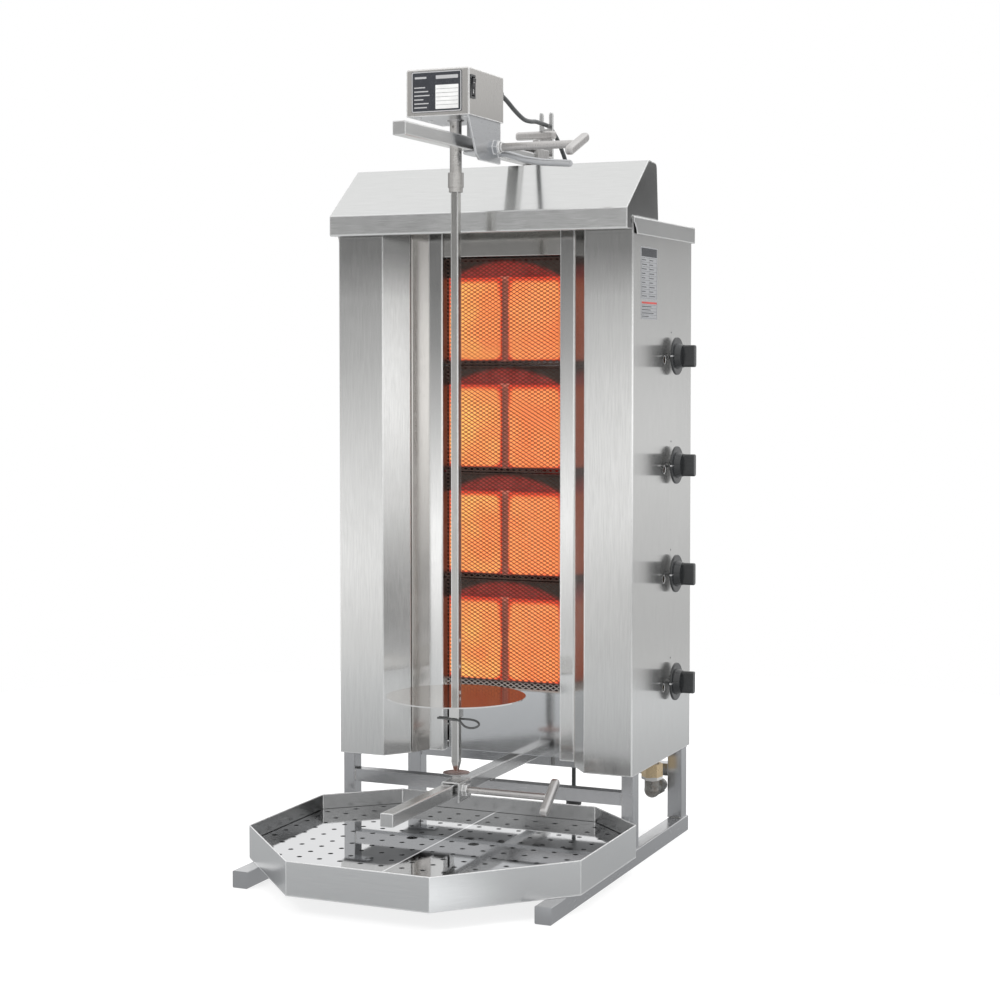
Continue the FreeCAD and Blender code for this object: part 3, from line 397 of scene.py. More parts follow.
# waviness, and painted shade on the hood's right side, the casing's high front faces, the rails'
# upper part and the tray's inner walls
BRUSHED_EXTRAS = {
    "casing": dict(wave=0.02, top=0.55),
    "roof": dict(wave=0.02),
    "hood": dict(wave=0.02, painted_cheek_shade=0.8),
    "rail": dict(painted_upper_shade=0.75),
    "tray": dict(inner=(DATUM_X, -0.175)),
}
# name, colour, roughness range, grain, patina
TURNED = (
    ("brass", (0.71, 0.56, 0.33), (0.22, 0.36), "Z", 0.5),
    ("pipe_steel", (0.55, 0.55, 0.55), (0.2, 0.34), "Z"),
    ("pipe_alu", (0.78, 0.78, 0.78), (0.2, 0.32), "Z"),
    ("probe", (0.45, 0.42, 0.40), (0.2, 0.32), "X", 0.5),
    ("bronze", (0.62, 0.61, 0.60), (0.16, 0.26), "H", 0.2),
    ("stem", (0.62, 0.62, 0.62), (0.18, 0.3), "X"),
    ("shaft", (0.62, 0.605, 0.585), (0.16, 0.26), "H", 0.2),
    ("clip", (0.20, 0.205, 0.205), (0.16, 0.26), "X"),
    ("weld", (0.60, 0.595, 0.58), (0.22, 0.36), "X", 0.4),
)
# name, colour, roughness range, grain, waviness
POLISHED = (
    ("upper", (0.56, 0.55, 0.53), (0.08, 0.12), "X", 0.04),
    ("mirror_low", (0.70, 0.71, 0.72), (0.065, 0.10), "X", 0.03),
    ("disc", (0.80, 0.79, 0.775), (0.06, 0.10), "X", 0.02),
)
# name, colour, roughness range, relief, texture scale
PLASTIC = (
    ("black", (0.025, 0.027, 0.029), (0.20, 0.30)),
    ("black_gloss", (0.014, 0.014, 0.016), (0.16, 0.26), 0.12),
    ("plug", (0.022, 0.022, 0.023), (0.38, 0.5), 0.4, 700),
    ("white", (0.82, 0.82, 0.81), (0.35, 0.45), 0.1),
    ("red", (0.55, 0.05, 0.04), (0.35, 0.45), 0.1),
    ("dark_ink", (0.025, 0.028, 0.036), (0.22, 0.32), 0.1),
)


# ---------------------------------------------------------------- single materials
def perforated_plate_steel():
    """Polished plate with a painted highlight: a glowing upright stripe 2 mm left of the middle.
    """
    mat = mirror("plate", (0.66, 0.665, 0.675), rough=(0.02, 0.05), axis="X", wave=0.03,
                 smudge=0.35)
    off_line = abs(mat.xyz()[0] - (DATUM_X - 0.002))
    # painted highlight: the stripe glows white in place of light on a seam
    line = mat.remap(off_line, (0.0012, 0.0017), to=(1, 0))
    mat.set(emission_color=WHITE, emission_strength=line * 0.27)


def inlet_material():
    """Brass above, a band of white sealing tape, galvanised elbow with rust spots below."""
    mat = Material("inlet")
    _, _, z = mat.xyz()
    patches = mat.noise(60, detail=4, rough=0.65)
    spots = mat.noise(260)
    height = z + mat.remap(patches, to=(-0.0008, 0.0008))
    above = height > 0.0985
    tape = (height > 0.0925) * (height < 0.0985)
    brass = mat.mix(mat.remap(patches, (0.35, 0.7), to=(0, 0.4)),
                    (0.80, 0.63, 0.40), (0.45, 0.33, 0.19))
    zinc = mat.mix(mat.remap(patches, (0.35, 0.65)), (0.42, 0.42, 0.40), (0.24, 0.22, 0.20))
    zinc = mat.mix(mat.remap(spots, (0.58, 0.72), to=(0, 0.6)), zinc, (0.20, 0.10, 0.07))
    mat.set(base_color=mat.mix(tape, mat.mix(above, zinc, brass), (0.78, 0.77, 0.75)),
            metallic=1.0 - tape * 0.9,
            roughness=mat.remap(spots, to=(0.24, 0.38)) + tape * 0.2,
            normal=mat.bump(spots, strength=0.12, distance=0.0002))


def cup_material():
    """Dished steel with a heat-tinted, reddish brown upper face."""
    mat = Material("cup")
    upward = mat.xyz(mat.normal())[2]
    patches = mat.noise(90)
    tinted = mat.remap(upward, (0.3, 0.8)) * mat.remap(mat.xyz()[2], (0.1405, 0.1425))
    brown = mat.mix(mat.remap(patches), (0.26, 0.13, 0.10), (0.36, 0.19, 0.15))
    mat.set(base_color=mat.mix(tinted, (0.62, 0.61, 0.60), brown), metallic=1,
            roughness=mat.remap(patches, to=(0.16, 0.30)),
            normal=mat.bump(patches, strength=0.08, distance=0.0001))


def cable_material():
    mat = Material("cable")
    texture = mat.noise(700)
    patches = mat.noise(30)
    mat.set(roughness=mat.remap(texture, to=(0.38, 0.52)),
            base_color=mat.mix(mat.remap(patches), (0.055, 0.06, 0.062), (0.085, 0.09, 0.092)),
            normal=mat.bump(texture, strength=0.25, distance=0.0001))


def burner_coords(mat):
    """In mm: x from the middle, and z above the lower edge of the burner's plaques. z repeats at
    the burner pitch, from 12 mm below each edge."""
    below = 12.0
    x, _, z = mat.xyz()
    height = z * 1000.0 - TILE_BOTTOM
    return (x - DATUM_X) * 1000.0, (height + below) % BURNER_PITCH - below


def heat_zone(mat, across, height):
    """Red-hot arch from the plaques to the top of the burner, 0 cold to 1 hot."""
    rise = (height - 131.0) / 29.0  # 0 at the foot of the arch, 1 at the burner's top
    offset = across / 100.0         # 1 at the burner's side
    limit = 0.98 - offset * offset * 0.95
    arch = mat.remap(limit - rise, (-0.08, 0.22), smooth=True)
    return arch * mat.remap(rise, (-0.25, 0.05), smooth=True)


def tile_material():
    """Glowing ceramic plaques, two side by side in each burner, with fine flame holes."""
    mat = Material("ceramic_glow")
    across, height = burner_coords(mat)
    # plaque in mm: middle across and up, half sizes, corner radius
    middle_x, middle_z, half_x, half_z, corner = 52.0, 66.0, 46.0, 66.0, 13.0
    off_x = abs(across) - middle_x
    off_z = height - middle_z
    past_x = mat.math("MAXIMUM", abs(off_x) - (half_x - corner), 0)
    past_z = mat.math("MAXIMUM", abs(off_z) - (half_z - corner), 0)
    depth = corner - mat.length(past_x, past_z)
    patches = mat.noise(26)
    depth = depth + mat.remap(patches, to=(-1.4, 1.4))
    # cooler band along the top of each plaque
    depth = depth - mat.remap(height, (118, 132), to=(0, 4.5))
    heat = mat.remap(depth, (-0.5, mat.remap(height, (96, 118), to=(3.2, 9))))

    core = mat.mix(mat.remap(across, (-60, 40)), srgb(255, 182, 98), srgb(255, 152, 88))
    blotches = mat.noise(14, detail=2, rough=0.5)
    core = mat.mix(mat.remap(blotches, (0.35, 0.65), to=(0, 0.75)), core, srgb(255, 132, 74))
    glow = mat.mix(mat.remap(heat, (0, 0.45)), srgb(205, 58, 36), srgb(252, 104, 58))
    glow = mat.mix(mat.remap(heat, (0.3, 1)), glow, core)

    flat = mat.vector("MULTIPLY", mat.coords, (1, 0, 1))
    holes = mat.node("ShaderNodeTexVoronoi", {"Vector": flat, "Scale": 520, "Randomness": 0.12},
                     out="Distance")
    # strongest as light on other pieces, weakest and redder in reflections
    glossy = mat.node("ShaderNodeLightPath", {}, out="Is Glossy Ray")
    indirect = mat.remap(glossy, (0, 1), to=(1.9, 0.42))
    strength = mat.mix_numbers(glossy.sibling("Is Camera Ray"), indirect, 1.32)
    mat.set(base_color=(0.12, 0.07, 0.05),
            roughness=mat.remap(patches, to=(0.82, 0.95)),
            normal=mat.bump(holes, strength=0.4, distance=0.0006),
            emission_color=mat.mix(glossy * 0.6, glow, srgb(240, 92, 60)),
            emission_strength=mat.remap(holes, (0.18, 0.42), to=(0.80, 1.04)) * strength)


def housing_material():
    """Sooty burner steel, red hot above the plaques and in the gap between them."""
    mat = Material("burner_steel")
    across, height = burner_coords(mat)
    hot = heat_zone(mat, across, height)
    _, y, _ = mat.xyz()
    front = y < DATUM_Y + 0.112
    patches = mat.noise(40, detail=4)
    near = (height > -4.0) * (height < 134.0) * mat.remap(abs(across), (100, 96))
    gap = near * mat.remap(abs(across), (12, 8))
    red = mat.mix(mat.remap(patches), srgb(140, 12, 8), srgb(176, 28, 18))
    strength = hot * 1.25 + gap * 1.0 + near * 0.12
    mat.set(base_color=mat.mix(mat.remap(patches), (0.10, 0.085, 0.075), (0.19, 0.16, 0.14)),
            metallic=0.85, roughness=mat.remap(patches, to=(0.45, 0.62)),
            normal=mat.bump(patches, strength=0.15, distance=0.0004),
            emission_color=mat.mix(gap, red, srgb(168, 88, 72)),
            emission_strength=strength * 0.62 * front)


def guard_material():
    """Scorched expanded metal, glowing faintly in front of the plaques, bright at its foot."""
    mat = Material("guard_mesh")
    across, height = burner_coords(mat)
    hot = heat_zone(mat, across, height)
    inside = (mat.remap(height, (-4, 6), smooth=True)
              * mat.remap(height, (136, 126), smooth=True))
    beside_gap = mat.remap(abs(across), (3, 8), to=(0.35, 1), smooth=True)
    patches = mat.noise(60)
    _, _, z = mat.xyz()
    cold = mat.remap(z, (0.262, 0.255))
    scorched = mat.mix(mat.remap(patches, (0.35, 0.65)),
                       (0.085, 0.055, 0.045), (0.14, 0.10, 0.085))
    mat.set(base_color=mat.mix(cold, scorched, (0.62, 0.58, 0.54)), metallic=0.9,
            roughness=mat.remap(patches, to=(0.38, 0.55)),
            normal=mat.bump(patches, strength=0.2, distance=0.0003),
            emission_color=mat.mix(inside * beside_gap, srgb(120, 22, 14), srgb(176, 74, 34)),
            emission_strength=hot * 0.12 + inside * beside_gap * 0.22)


def make_materials():
    for row in BRUSHED:
        brushed(*row, **BRUSHED_EXTRAS.get(row[0], {}))
    mirror("mirror_v", (0.66, 0.64, 0.615), rough=(0.09, 0.14), axis="Z", wave=0.03, dish=1)
    for row in POLISHED:
        mirror(*row)
    perforated_plate_steel()
    for row in TURNED:
        turned(*row)
    turned("motor", (0.25, 0.25, 0.26), rough=(0.35, 0.5), axis="Z", metallic=0.6)
    for row in PLASTIC:
        plastic(*row)
    inlet_material()
    cup_material()
    cable_material()
    tile_material()
    housing_material()
    guard_material()


# CAD pieces, material
LOOKS = (
    ("casing_left casing_right back_panel", "casing"),
    ("upper_plate", "upper"),
    ("roof_lid", "roof"),
    ("hood", "hood"),
    ("rail_left rail_right", "rail"),
    ("reflector_left reflector_right", "mirror_v"),
    ("lower_reflector", "mirror_low"),
    ("base_frame", "frame"),
    ("lower_arm upper_arm", "arm"),
    ("arm_mast", "mast"),
    ("casing_screws", "plain"),
    ("base_pan", "pan"),
    ("burner_housings", "burner_steel"),
    ("ceramic_tiles", "ceramic_glow"),
    ("mesh_guards", "guard_mesh"),
    ("gas_valves injectors", "brass"),
    ("gas_inlet", "inlet"),
    ("gas_manifold", "pipe_steel"),
    ("feed_pipes", "pipe_alu"),
    ("thermocouples", "probe"),
    ("rating_plates", "foil"),
    ("motor_plate", "dark_ink"),
    ("motor_casing", "box"),
    ("motor_bracket", "bracket"),
    ("gear_motor", "motor"),
    ("shaft_bushing", "bronze"),
    ("switch_bezel", "black"),
    ("switch_rocker", "black_gloss"),
    ("knob_1 knob_2 knob_3 knob_4", "black"),
    ("valve_stem_1 valve_stem_2 valve_stem_3 valve_stem_4", "stem"),
    ("spit_rod", "spit"),
    ("drive_shaft coupling_sleeve", "shaft"),
    ("spit_disc", "disc"),
    ("disc_clip", "clip"),
    ("lower_clamp", "clamp"),
    ("pivot_cup", "cup"),
    ("arm_screw carriage_screw lower_screw", "bar"),
    ("arm_pad carriage_pad lower_pad", "stem"),
    ("drip_tray", "tray"),
    ("perforated_plate_left perforated_plate_right", "plate"),
    ("cable_lead power_cable", "cable"),
)


def dress_cad_pieces():
    for pieces, material in LOOKS:
        for piece in pieces.split():
            slots = NODES[piece].data.materials
            if len(slots) == 0:
                slots.append(MATERIALS[material])
            for i in range(len(slots)):
                slots[i] = MATERIALS[material]


# ---------------------------------------------------------------- shapes
def circle(radius, count, turn=0):
    angles = [2 * math.pi * i / count + math.radians(turn) for i in range(count)]
    return [(radius * math.cos(t), radius * math.sin(t)) for t in angles]


def rounded_rectangle(left, right, low, high, corner, steps, inset=0):
    """Outline with arc corners, anticlockwise from the right side's upper end."""
    points = []
    radius = corner - inset
    for x, y, start in ((right - corner, high - corner, 0), (left + corner, high - corner, 90),
                        (left + corner, low + corner, 180), (right - corner, low + corner, 270)):
        for i in range(steps + 1):
            t = math.radians(start + 90 * i / steps)
            points.append((x + radius * math.cos(t), y + radius * math.sin(t)))
    return points


def spline(stations, step):
    """Catmull-Rom curve through the stations, cut into lengths of about step."""
    p = [Vector(station) for station in stations]
    p = [p[0] * 2 - p[1]] + p + [p[-1] * 2 - p[-2]]
    points = []
    for a, b, c, d in zip(p, p[1:], p[2:], p[3:]):
        count = max(2, int((c - b).length / step))
        for j in range(count):
            t = j / count
            points.append(0.5 * ((2 * b) + (-a + c) * t + (2 * a - 5 * b + 4 * c - d) * t * t
                                 + (-a + 3 * b - 3 * c + d) * t ** 3))
    points.append(p[-2])
    return points


def square_to(vector, direction):
    """The unit part of vector at right angles to direction."""
    vector = Vector(vector)
    return (vector - direction * vector.dot(direction)).normalized()


class Shape:
    """Collects vertices, in mm from the datum, and faces."""

    def __init__(self):
        self.vertices, self.faces = [], []

    def add(self, vertices, faces):
        start = len(self.vertices)
        self.vertices += [tuple(v) for v in vertices]
        self.faces += [tuple(i + start for i in face) for face in faces]

    def skin(self, rings, closed=False, caps=True, flip=False):
        """Joins rings of equal count into a tube; flip turns its faces over."""
        size, count = len(rings[0]), len(rings)
        faces = []
        for row in range(count if closed else count - 1):
            here, there = row * size, (row + 1) % count * size
            for i in range(size):
                j = (i + 1) % size
                quad = (here + i, here + j, there + j, there + i)
                faces.append(quad[:1] + quad[:0:-1] if flip else quad)
        if caps and not closed:
            last = (count - 1) * size
            for end in (range(size)[::-1], range(last, last + size)):
                faces.append(end[::-1] if flip else end)
        self.add([v for ring in rings for v in ring], faces)

    def strand(self, points, section):
        """Carries a section of (x, y, z) offsets along the points without turning it."""
        self.skin([[(x + dx, y + dy, z + dz) for dx, dy, dz in section] for x, y, z in points])

    def sweep(self, points, outline, up=Z_AXIS, closed=False):
        """Carries an outline of (side, up) offsets along the points, turning with them."""
        points = [Vector(p) for p in points]
        count = len(points)
        rings = []
        for i, point in enumerate(points):
            after = points[(i + 1) % count if closed else min(i + 1, count - 1)]
            before = points[i - 1 if closed else max(i - 1, 0)]
            ahead = (after - before).normalized()
            up = square_to(up, ahead)
            side = ahead.cross(up)
            rings.append([point + side * a + up * b for a, b in outline])
        self.skin(rings, closed, flip=True)

    def lathe(self, profile, origin, axis, segments, caps=True):
        """Turns (radius, height) points about an axis."""
        origin, axis = Vector(origin), Vector(axis).normalized()
        first = square_to(Y_AXIS if abs(axis.x) > 0.5 else X_AXIS, axis)
        second = axis.cross(first)
        angles = [2 * math.pi * i / segments for i in range(segments)]
        self.skin([[origin + axis * height + first * radius * math.cos(t)
                    + second * radius * math.sin(t) for t in angles]
                   for radius, height in profile], caps=caps)

    def box(self, center, axes, half, radius, steps=3):
        """Box with edges rounded along its third axis and chamfered ends; half sizes."""
        center = Vector(center)
        across, up, along = (Vector(axis) for axis in axes)
        half_a, half_b, half_c = half
        outline = rounded_rectangle(-half_a, half_a, -half_b, half_b, radius, steps)
        chamfer = min(radius, half_c * 0.5) * 0.7
        rings = []
        for height, cut in ((-half_c, chamfer), (-half_c + chamfer, 0),
                            (half_c - chamfer, 0), (half_c, chamfer)):
            rings.append([center + across * (a * (1 - cut / half_a))
                          + up * (b * (1 - cut / half_b)) + along * height
                          for a, b in outline])
        self.skin(rings)

    def make(self, name, material, body="body", slot=None, angle=35):
        """Makes the object. Edges sharper than angle stay hard; None leaves all faces flat."""
        points = np.asarray(self.vertices, float) / 1000 + np.array([DATUM_X, DATUM_Y, 0.0])
        mesh = bpy.data.meshes.new(name)
        mesh.from_pydata([tuple(p) for p in points], [], self.faces)
        mesh.validate()
        mesh.update()
        if angle is not None:
            mesh.shade_smooth()
            mesh.set_sharp_from_angle(angle=math.radians(angle))
        made = bpy.data.objects.new(name, mesh)
        bpy.context.scene.collection.objects.link(made)
        mesh.materials.append(MATERIALS[material])
        if body:
            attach(made, body)
        return made


# ---------------------------------------------------------------- expanded-metal guards
FRONT_STRAND = ((0, -0.5, -0.66), (0, -0.5, 0.66), (0, 0.5, 0.66), (0, 0.5, -0.66))
RETURN_STRAND = ((0, -0.5, -0.4), (0, 0.5, -0.4), (0, 0.5, 0.4), (0, -0.5, 0.4))
SIDE_STRAND = ((-0.35, -0.35, 0), (0.35, -0.35, 0), (0.35, 0.35, 0), (-0.35, 0.35, 0))


def guard_basket(shape, bottom, top):
    """A shallow basket open to the back; neighbouring zigzag strands meet to form diamonds."""
    half = GUARD_HALF_WIDTH - 1.0
    rows = round((top - bottom) / (DIAMOND_HEIGHT / 2))
    row_step = (top - bottom) / rows
    columns = round(2 * half / (DIAMOND_WIDTH / 2))
    columns += columns % 2
    xs = [-half + 2 * half / columns * i for i in range(columns + 1)]
    heights = [bottom + row_step * i for i in range(rows + 1)]

    for row in range(rows):
        middle = bottom + row_step * (row + 0.5)
        swings = [(-1) ** (i + row) for i in range(columns + 1)]
        shape.strand([(x, GUARD_FRONT - 0.35 * swing, middle + swing * row_step * 0.5)
                      for x, swing in zip(xs, swings)], FRONT_STRAND)
    # bottom and top returns
    for z in (bottom - 0.6, top + 0.6):
        for row in range(2):
            shape.strand([(x, 81.5 + row * 5.4 + (-1) ** (i + row) * 2.7, z)
                          for i, x in enumerate(xs)], RETURN_STRAND)
    for side in (-1, 1):
        for column in range(4):
            shape.strand([(side * (GUARD_HALF_WIDTH - 0.5),
                           82.3 + column * 2.1 + (-1) ** (i + column) * 1.05, z)
                          for i, z in enumerate(heights)], SIDE_STRAND)
        # knuckles where the strands turn at the corner
        for z in heights[::2]:
            shape.box((side * (GUARD_HALF_WIDTH - 0.55), 81.0, z), (X_AXIS, Y_AXIS, Z_AXIS),
                      (0.55, 0.75, 0.9), radius=0.25, steps=1)
    # rods round the front and back edges: y, radius, sides
    rim = rounded_rectangle(-GUARD_HALF_WIDTH, GUARD_HALF_WIDTH, bottom, top, corner=4, steps=6)
    for y, radius, sides in ((81.2, 0.95, 8), (89.2, 0.8, 6)):
        shape.sweep([(x, y, z) for x, z in rim], circle(radius, sides), up=Y_AXIS, closed=True)


def guards():
    gap, rim = 0.6, 1.2
    shape = Shape()
    for burner in range(4):
        base = BURNER_BOTTOM + BURNER_PITCH * burner
        bottom = 245.6 if burner == 0 else base + gap  # the lowest reaches further down
        guard_basket(shape, bottom + rim, base + BURNER_PITCH - gap - rim)
    made = shape.make("guard_mesh_baskets", "guard_mesh", slot="mesh_steel", angle=30)
    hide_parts("mesh_guards")


# ---------------------------------------------------------------- cable, gland and plug
# x, y, z from the motor box, back over the roof and down to the plug
CABLE_STATIONS = (
    (GLAND_X, -33, GLAND_Z), (42, -22, 1179.6), (41.5, 4, 1173), (40.5, 40, 1161.5),
    (37, 82, 1154), (33, 118, 1154.5), (29, 152, 1158), (24, 190, 1159.3), (22, 214, 1159.4),
    (21.8, 228, 1158), (22.5, 246, 1150), (25, 266, 1133), (30, 286, 1100), (35, 298, 1050),
    (PLUG_X, PLUG_Y, 990), (PLUG_X, PLUG_Y, 900), (PLUG_X, PLUG_Y, 600), (PLUG_X, PLUG_Y, 300),
    (PLUG_X, PLUG_Y, 110), (PLUG_X, PLUG_Y, 46),
)
# radius, height
PLUG_PROFILE = (
    (0.01, 17), (12.2, 17), (13.0, 18), (13.0, 24.6), (12.4, 26), (9.4, 27), (8.5, 28),
    (8.5, 36.5), (7.8, 39.5), (6.6, 43), (5.2, 46.5), (4.5, 49.2), (3.6, 50),
)
PIN_PROFILE = ((0.01, 0), (1.6, 0), (2.3, 0.8), (2.4, 1.6), (2.4, 16.2))


def motor_cable():
    """One sheath from the motor box to the plug."""
    shape = Shape()
    shape.sweep(spline(CABLE_STATIONS, step=4), circle(3.5, 14), up=X_AXIS)
    made = shape.make("motor_cable", "cable", body=None, slot="cable")
    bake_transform(made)
    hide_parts("cable_lead", "power_cable")


def cable_gland():
    """Hexagon, ribbed nut and domed lip."""
    shape = Shape()
    ribbed = [(a * r, b * r) for (a, b), r in zip(circle(1, 36), (5.9, 6.3, 6.3) * 12)]
    for outline, start, end in ((circle(7.4, 6, turn=30), -32, -28.4), (ribbed, -28.6, -23.5)):
        shape.sweep([(GLAND_X, start, GLAND_Z), (GLAND_X, end, GLAND_Z)], outline)
    shape.lathe([(5.9, 0), (5.5, 1.4), (4.7, 2.3), (3.7, 2.6)],
                (GLAND_X, -23.6, GLAND_Z), Y_AXIS, segments=28)
    shape.make("cable_gland", "plug", body="motor_carriage", slot="cable", angle=30)


def mains_plug():
    shape = Shape()
    shape.lathe(PLUG_PROFILE, (PLUG_X, PLUG_Y, 0), Z_AXIS, segments=36)
    for i in range(3):
        shape.lathe([(8.3, 0), (9.0, 0.3), (9.0, 1.2), (8.3, 1.5)],
                    (PLUG_X, PLUG_Y, 28.6 + 2.7 * i), Z_AXIS, segments=30, caps=False)
    shape.make("mains_plug", "plug", slot="cable", angle=30)

    pins = Shape()
    for offset in (-9.5, 9.5):
        pins.lathe(PIN_PROFILE, (PLUG_X + offset, PLUG_Y, 1), Z_AXIS, segments=18)
    pins.make("mains_plug_pins", "stem", slot="stem_steel")


# ---------------------------------------------------------------- spring clip under the disc
# x, y, z: the straight rear leg, the bend on the right, the waved front leg
CLIP_STATIONS = (
    (-28.9, -95, 228), (-20, -95, 228), (0, -95, 228), (18, -95, 228), (26, -95.3, 227.8),
    (34, -97.2, 226.8), (39.6, -99.9, 224.2), (40.6, -101.7, 221.6), (37.6, -103.4, 218.9),
    (32, -104.6, 217.2), (25, -105.2, 217.2), (18.5, -105.0, 219.0), (13.4, -104.2, 222.8),
    (9.4, -103.5, 226.2), (5, -103.4, 226.9), (-2, -103.4, 227.2), (-8, -103.5, 227.5),
    (-12.5, -103.4, 228.0), (-17, -103.2, 228.3), (-22.5, -103.1, 228.3), (-27.9, -103.0, 228.3),
)


def spring_clip():
    shape = Shape()
    shape.sweep(spline(CLIP_STATIONS, step=1.2), circle(1.65, 12))
    made = shape.make("spring_clip", "clip", body="clip", slot="clip_wire")
    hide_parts("disc_clip")


# ---------------------------------------------------------------- front plate of the motor box
def add_border(shape, outline, inner, front, back):
    """Flat ring between two XZ outlines, from y front to y back."""
    n = len(outline)
    faces = []
    for i in range(n):
        j = (i + 1) % n
        faces += [(i, j, n + j, n + i), (2 * n + i, 3 * n + i, 3 * n + j, 2 * n + j),
                  (i, 2 * n + i, 2 * n + j, j), (n + i, n + j, 3 * n + j, 3 * n + i)]
    shape.add([(x, y, z) for y in (front, back) for x, z in outline + inner], faces)


def motor_plate():
    """Border, white field with ruled rows, and bars in place of words."""
    def finish(shape, part, material):
        shape.make("motor_plate_" + part, material, body="motor_carriage", slot="label")

    border = Shape()
    edges = (-41.6, 39.1, 1139.9, 1199.4)  # left, right, low, high
    add_border(border, rounded_rectangle(*edges, corner=3, steps=6),
               rounded_rectangle(*edges, corner=3, steps=6, inset=1.5),
               front=PLATE_Y - 0.18, back=PLATE_Y + 0.1)
    finish(border, "border", "silver_ink")

    field = Shape()
    field.box((PLATE_FIELD_X, PLATE_Y - 0.08, 1161.5), ON_FRONT, (18.6, 17.6, 0.12), radius=0.5)
    finish(field, "field", "white")

    rules = Shape()
    for i in range(1, 6):
        rules.box((PLATE_FIELD_X, PLATE_Y - 0.22, 1179.1 - PLATE_ROW * i), ON_FRONT,
                  (18.0, 0.22, 0.05), radius=0.1, steps=1)
    finish(rules, "rules", "dark_ink")

    # middle x and z, half width and height, corner
    bars = [(-37.5 + half, 1176.2 - PLATE_ROW * i, half, 0.85, 0.3)
            for i, half in enumerate((9.0, 11.5, 12.6, 7.5, 11.8, 10.4))]
    bars += [(-27, 1190.6, 9.5, 1.5, 0.4), (PLATE_FIELD_X, 1190.6, 18.0, 2.6, 0.5)]
    shape = Shape()
    for x, z, half_x, half_z, corner in bars:
        shape.box((x, PLATE_Y - 0.08, z), ON_FRONT, (half_x, half_z, 0.1), corner, steps=2)
    finish(shape, "bars", "silver_ink")


# ---------------------------------------------------------------- labels on the right panel
def side_label(name, front, back, low, high, band, rows, columns, band_material):
    """Coloured band above a ruled grid with a bar of chance length in each cell."""
    width, middle = back - front, (front + back) / 2
    shape = Shape()
    shape.box((LABEL_X + 0.05, middle, high - band / 2 - 1.6), ON_SIDE,
              (width / 2 - 2.2, band / 2, 0.08), radius=0.4, steps=2)
    shape.make(name + "_band", band_material, slot="label")

    top = high - band - 3.4
    height = top - (low + 2.2)
    grid = Shape()

    def mark(y, z, half_y, half_z):
        grid.box((LABEL_X + 0.03, y, z), ON_SIDE, (half_y, half_z, 0.05), radius=0.1, steps=1)

    for i in range(rows + 1):
        mark(middle, top - height * i / rows, width / 2 - 2.6, 0.16)
    for k in range(columns + 1):
        mark(front + 2.6 + (width - 5.2) * k / columns, top - height / 2, 0.16, height / 2)
    for i in range(rows):
        for k in range(columns):
            half = random.uniform(0.22, 0.40) * (width - 8) / columns
            mark(front + 4.2 + (width - 5.2) * k / columns + half,
                 top - height * (i + 0.5) / rows, half, min(0.62, height / rows * 0.2))
    grid.make(name + "_rows", "dark_ink", slot="label")


def side_labels():
    side_label("rating_label", front=34, back=110, low=866.0, high=946.5, band=13.0,
               rows=9, columns=2, band_material="dark_ink")
    side_label("notice_label", front=35, back=110.5, low=836.0, high=864.6, band=3.0,
               rows=4, columns=1, band_material="red")


# ---------------------------------------------------------------- knobs, collar and rocker
def knob_details(number, z):
    """Index bar of a knob, the dot above it and the washer round its spindle hole."""
    index = Shape()
    # silver bar on the skirt, folded over its rim
    index.box((261.45, KNOB_Y - 20.6, z), (Z_AXIS, X_AXIS, Y_AXIS), (1.25, 0.32, 8.6),
              radius=0.15, steps=1)
    index.box((259.8, KNOB_Y - 29.75, z), (Z_AXIS, Y_AXIS, X_AXIS), (1.25, 0.3, 1.7),
              radius=0.15, steps=1)
    index.make(f"knob_{number}_index", "silver_ink", body=f"knob_{number}", slot="black_plastic")

    dot = Shape()
    dot.lathe([(0.01, 0), (1.5, 0), (1.6, 0.06), (1.5, 0.12), (0.01, 0.12)],
              (PANEL_X, KNOB_Y - 1, z + 37.6), X_AXIS, segments=16)
    dot.make(f"panel_dot_{number}", "dark_ink", slot="label")

    washer = Shape()
    washer.lathe([(6.6, 0), (8.6, 0), (8.8, 0.15), (8.6, 0.6), (6.6, 0.6), (6.6, 0)],
                 (PANEL_X, KNOB_Y, z), X_AXIS, segments=32, caps=False)
    washer.make(f"spindle_collar_{number}", "stem", slot="stem_steel")


def carriage_collar():
    """Collar where the clamping rod enters the motor bracket."""
    shape = Shape()
    shape.lathe([(6.1, 0), (9.2, 0), (9.6, 0.4), (9.6, 1.2), (8.2, 1.7), (7.9, 5.2), (7.3, 6.0),
                 (6.1, 6.0), (6.1, 0)], (57.05, -61.0, 1095.0), X_AXIS, segments=36, caps=False)
    shape.make("carriage_collar", "clamp", body="motor_carriage", slot="clamp_steel", angle=25)


def rocker_marks():
    """Bar below and ring above, each tilted with its half of the rocker."""
    shape = Shape()
    shape.box((ROCKER_X + 1.75, ROCKER_Y, 1168.3), (Y_AXIS, Z_AXIS, (1, 0, 0.07)),
              (0.45, 3.0, 0.35), radius=0.2, steps=1)
    shape.lathe([(2.0, 0), (2.6, 0), (2.6, 0.4), (2.0, 0.4), (2.0, 0)],
                (ROCKER_X + 2.85, ROCKER_Y, 1183.2), (1, 0, -0.12), segments=20, caps=False)
    shape.make("rocker_marks", "white", body="rocker", slot="black_plastic")


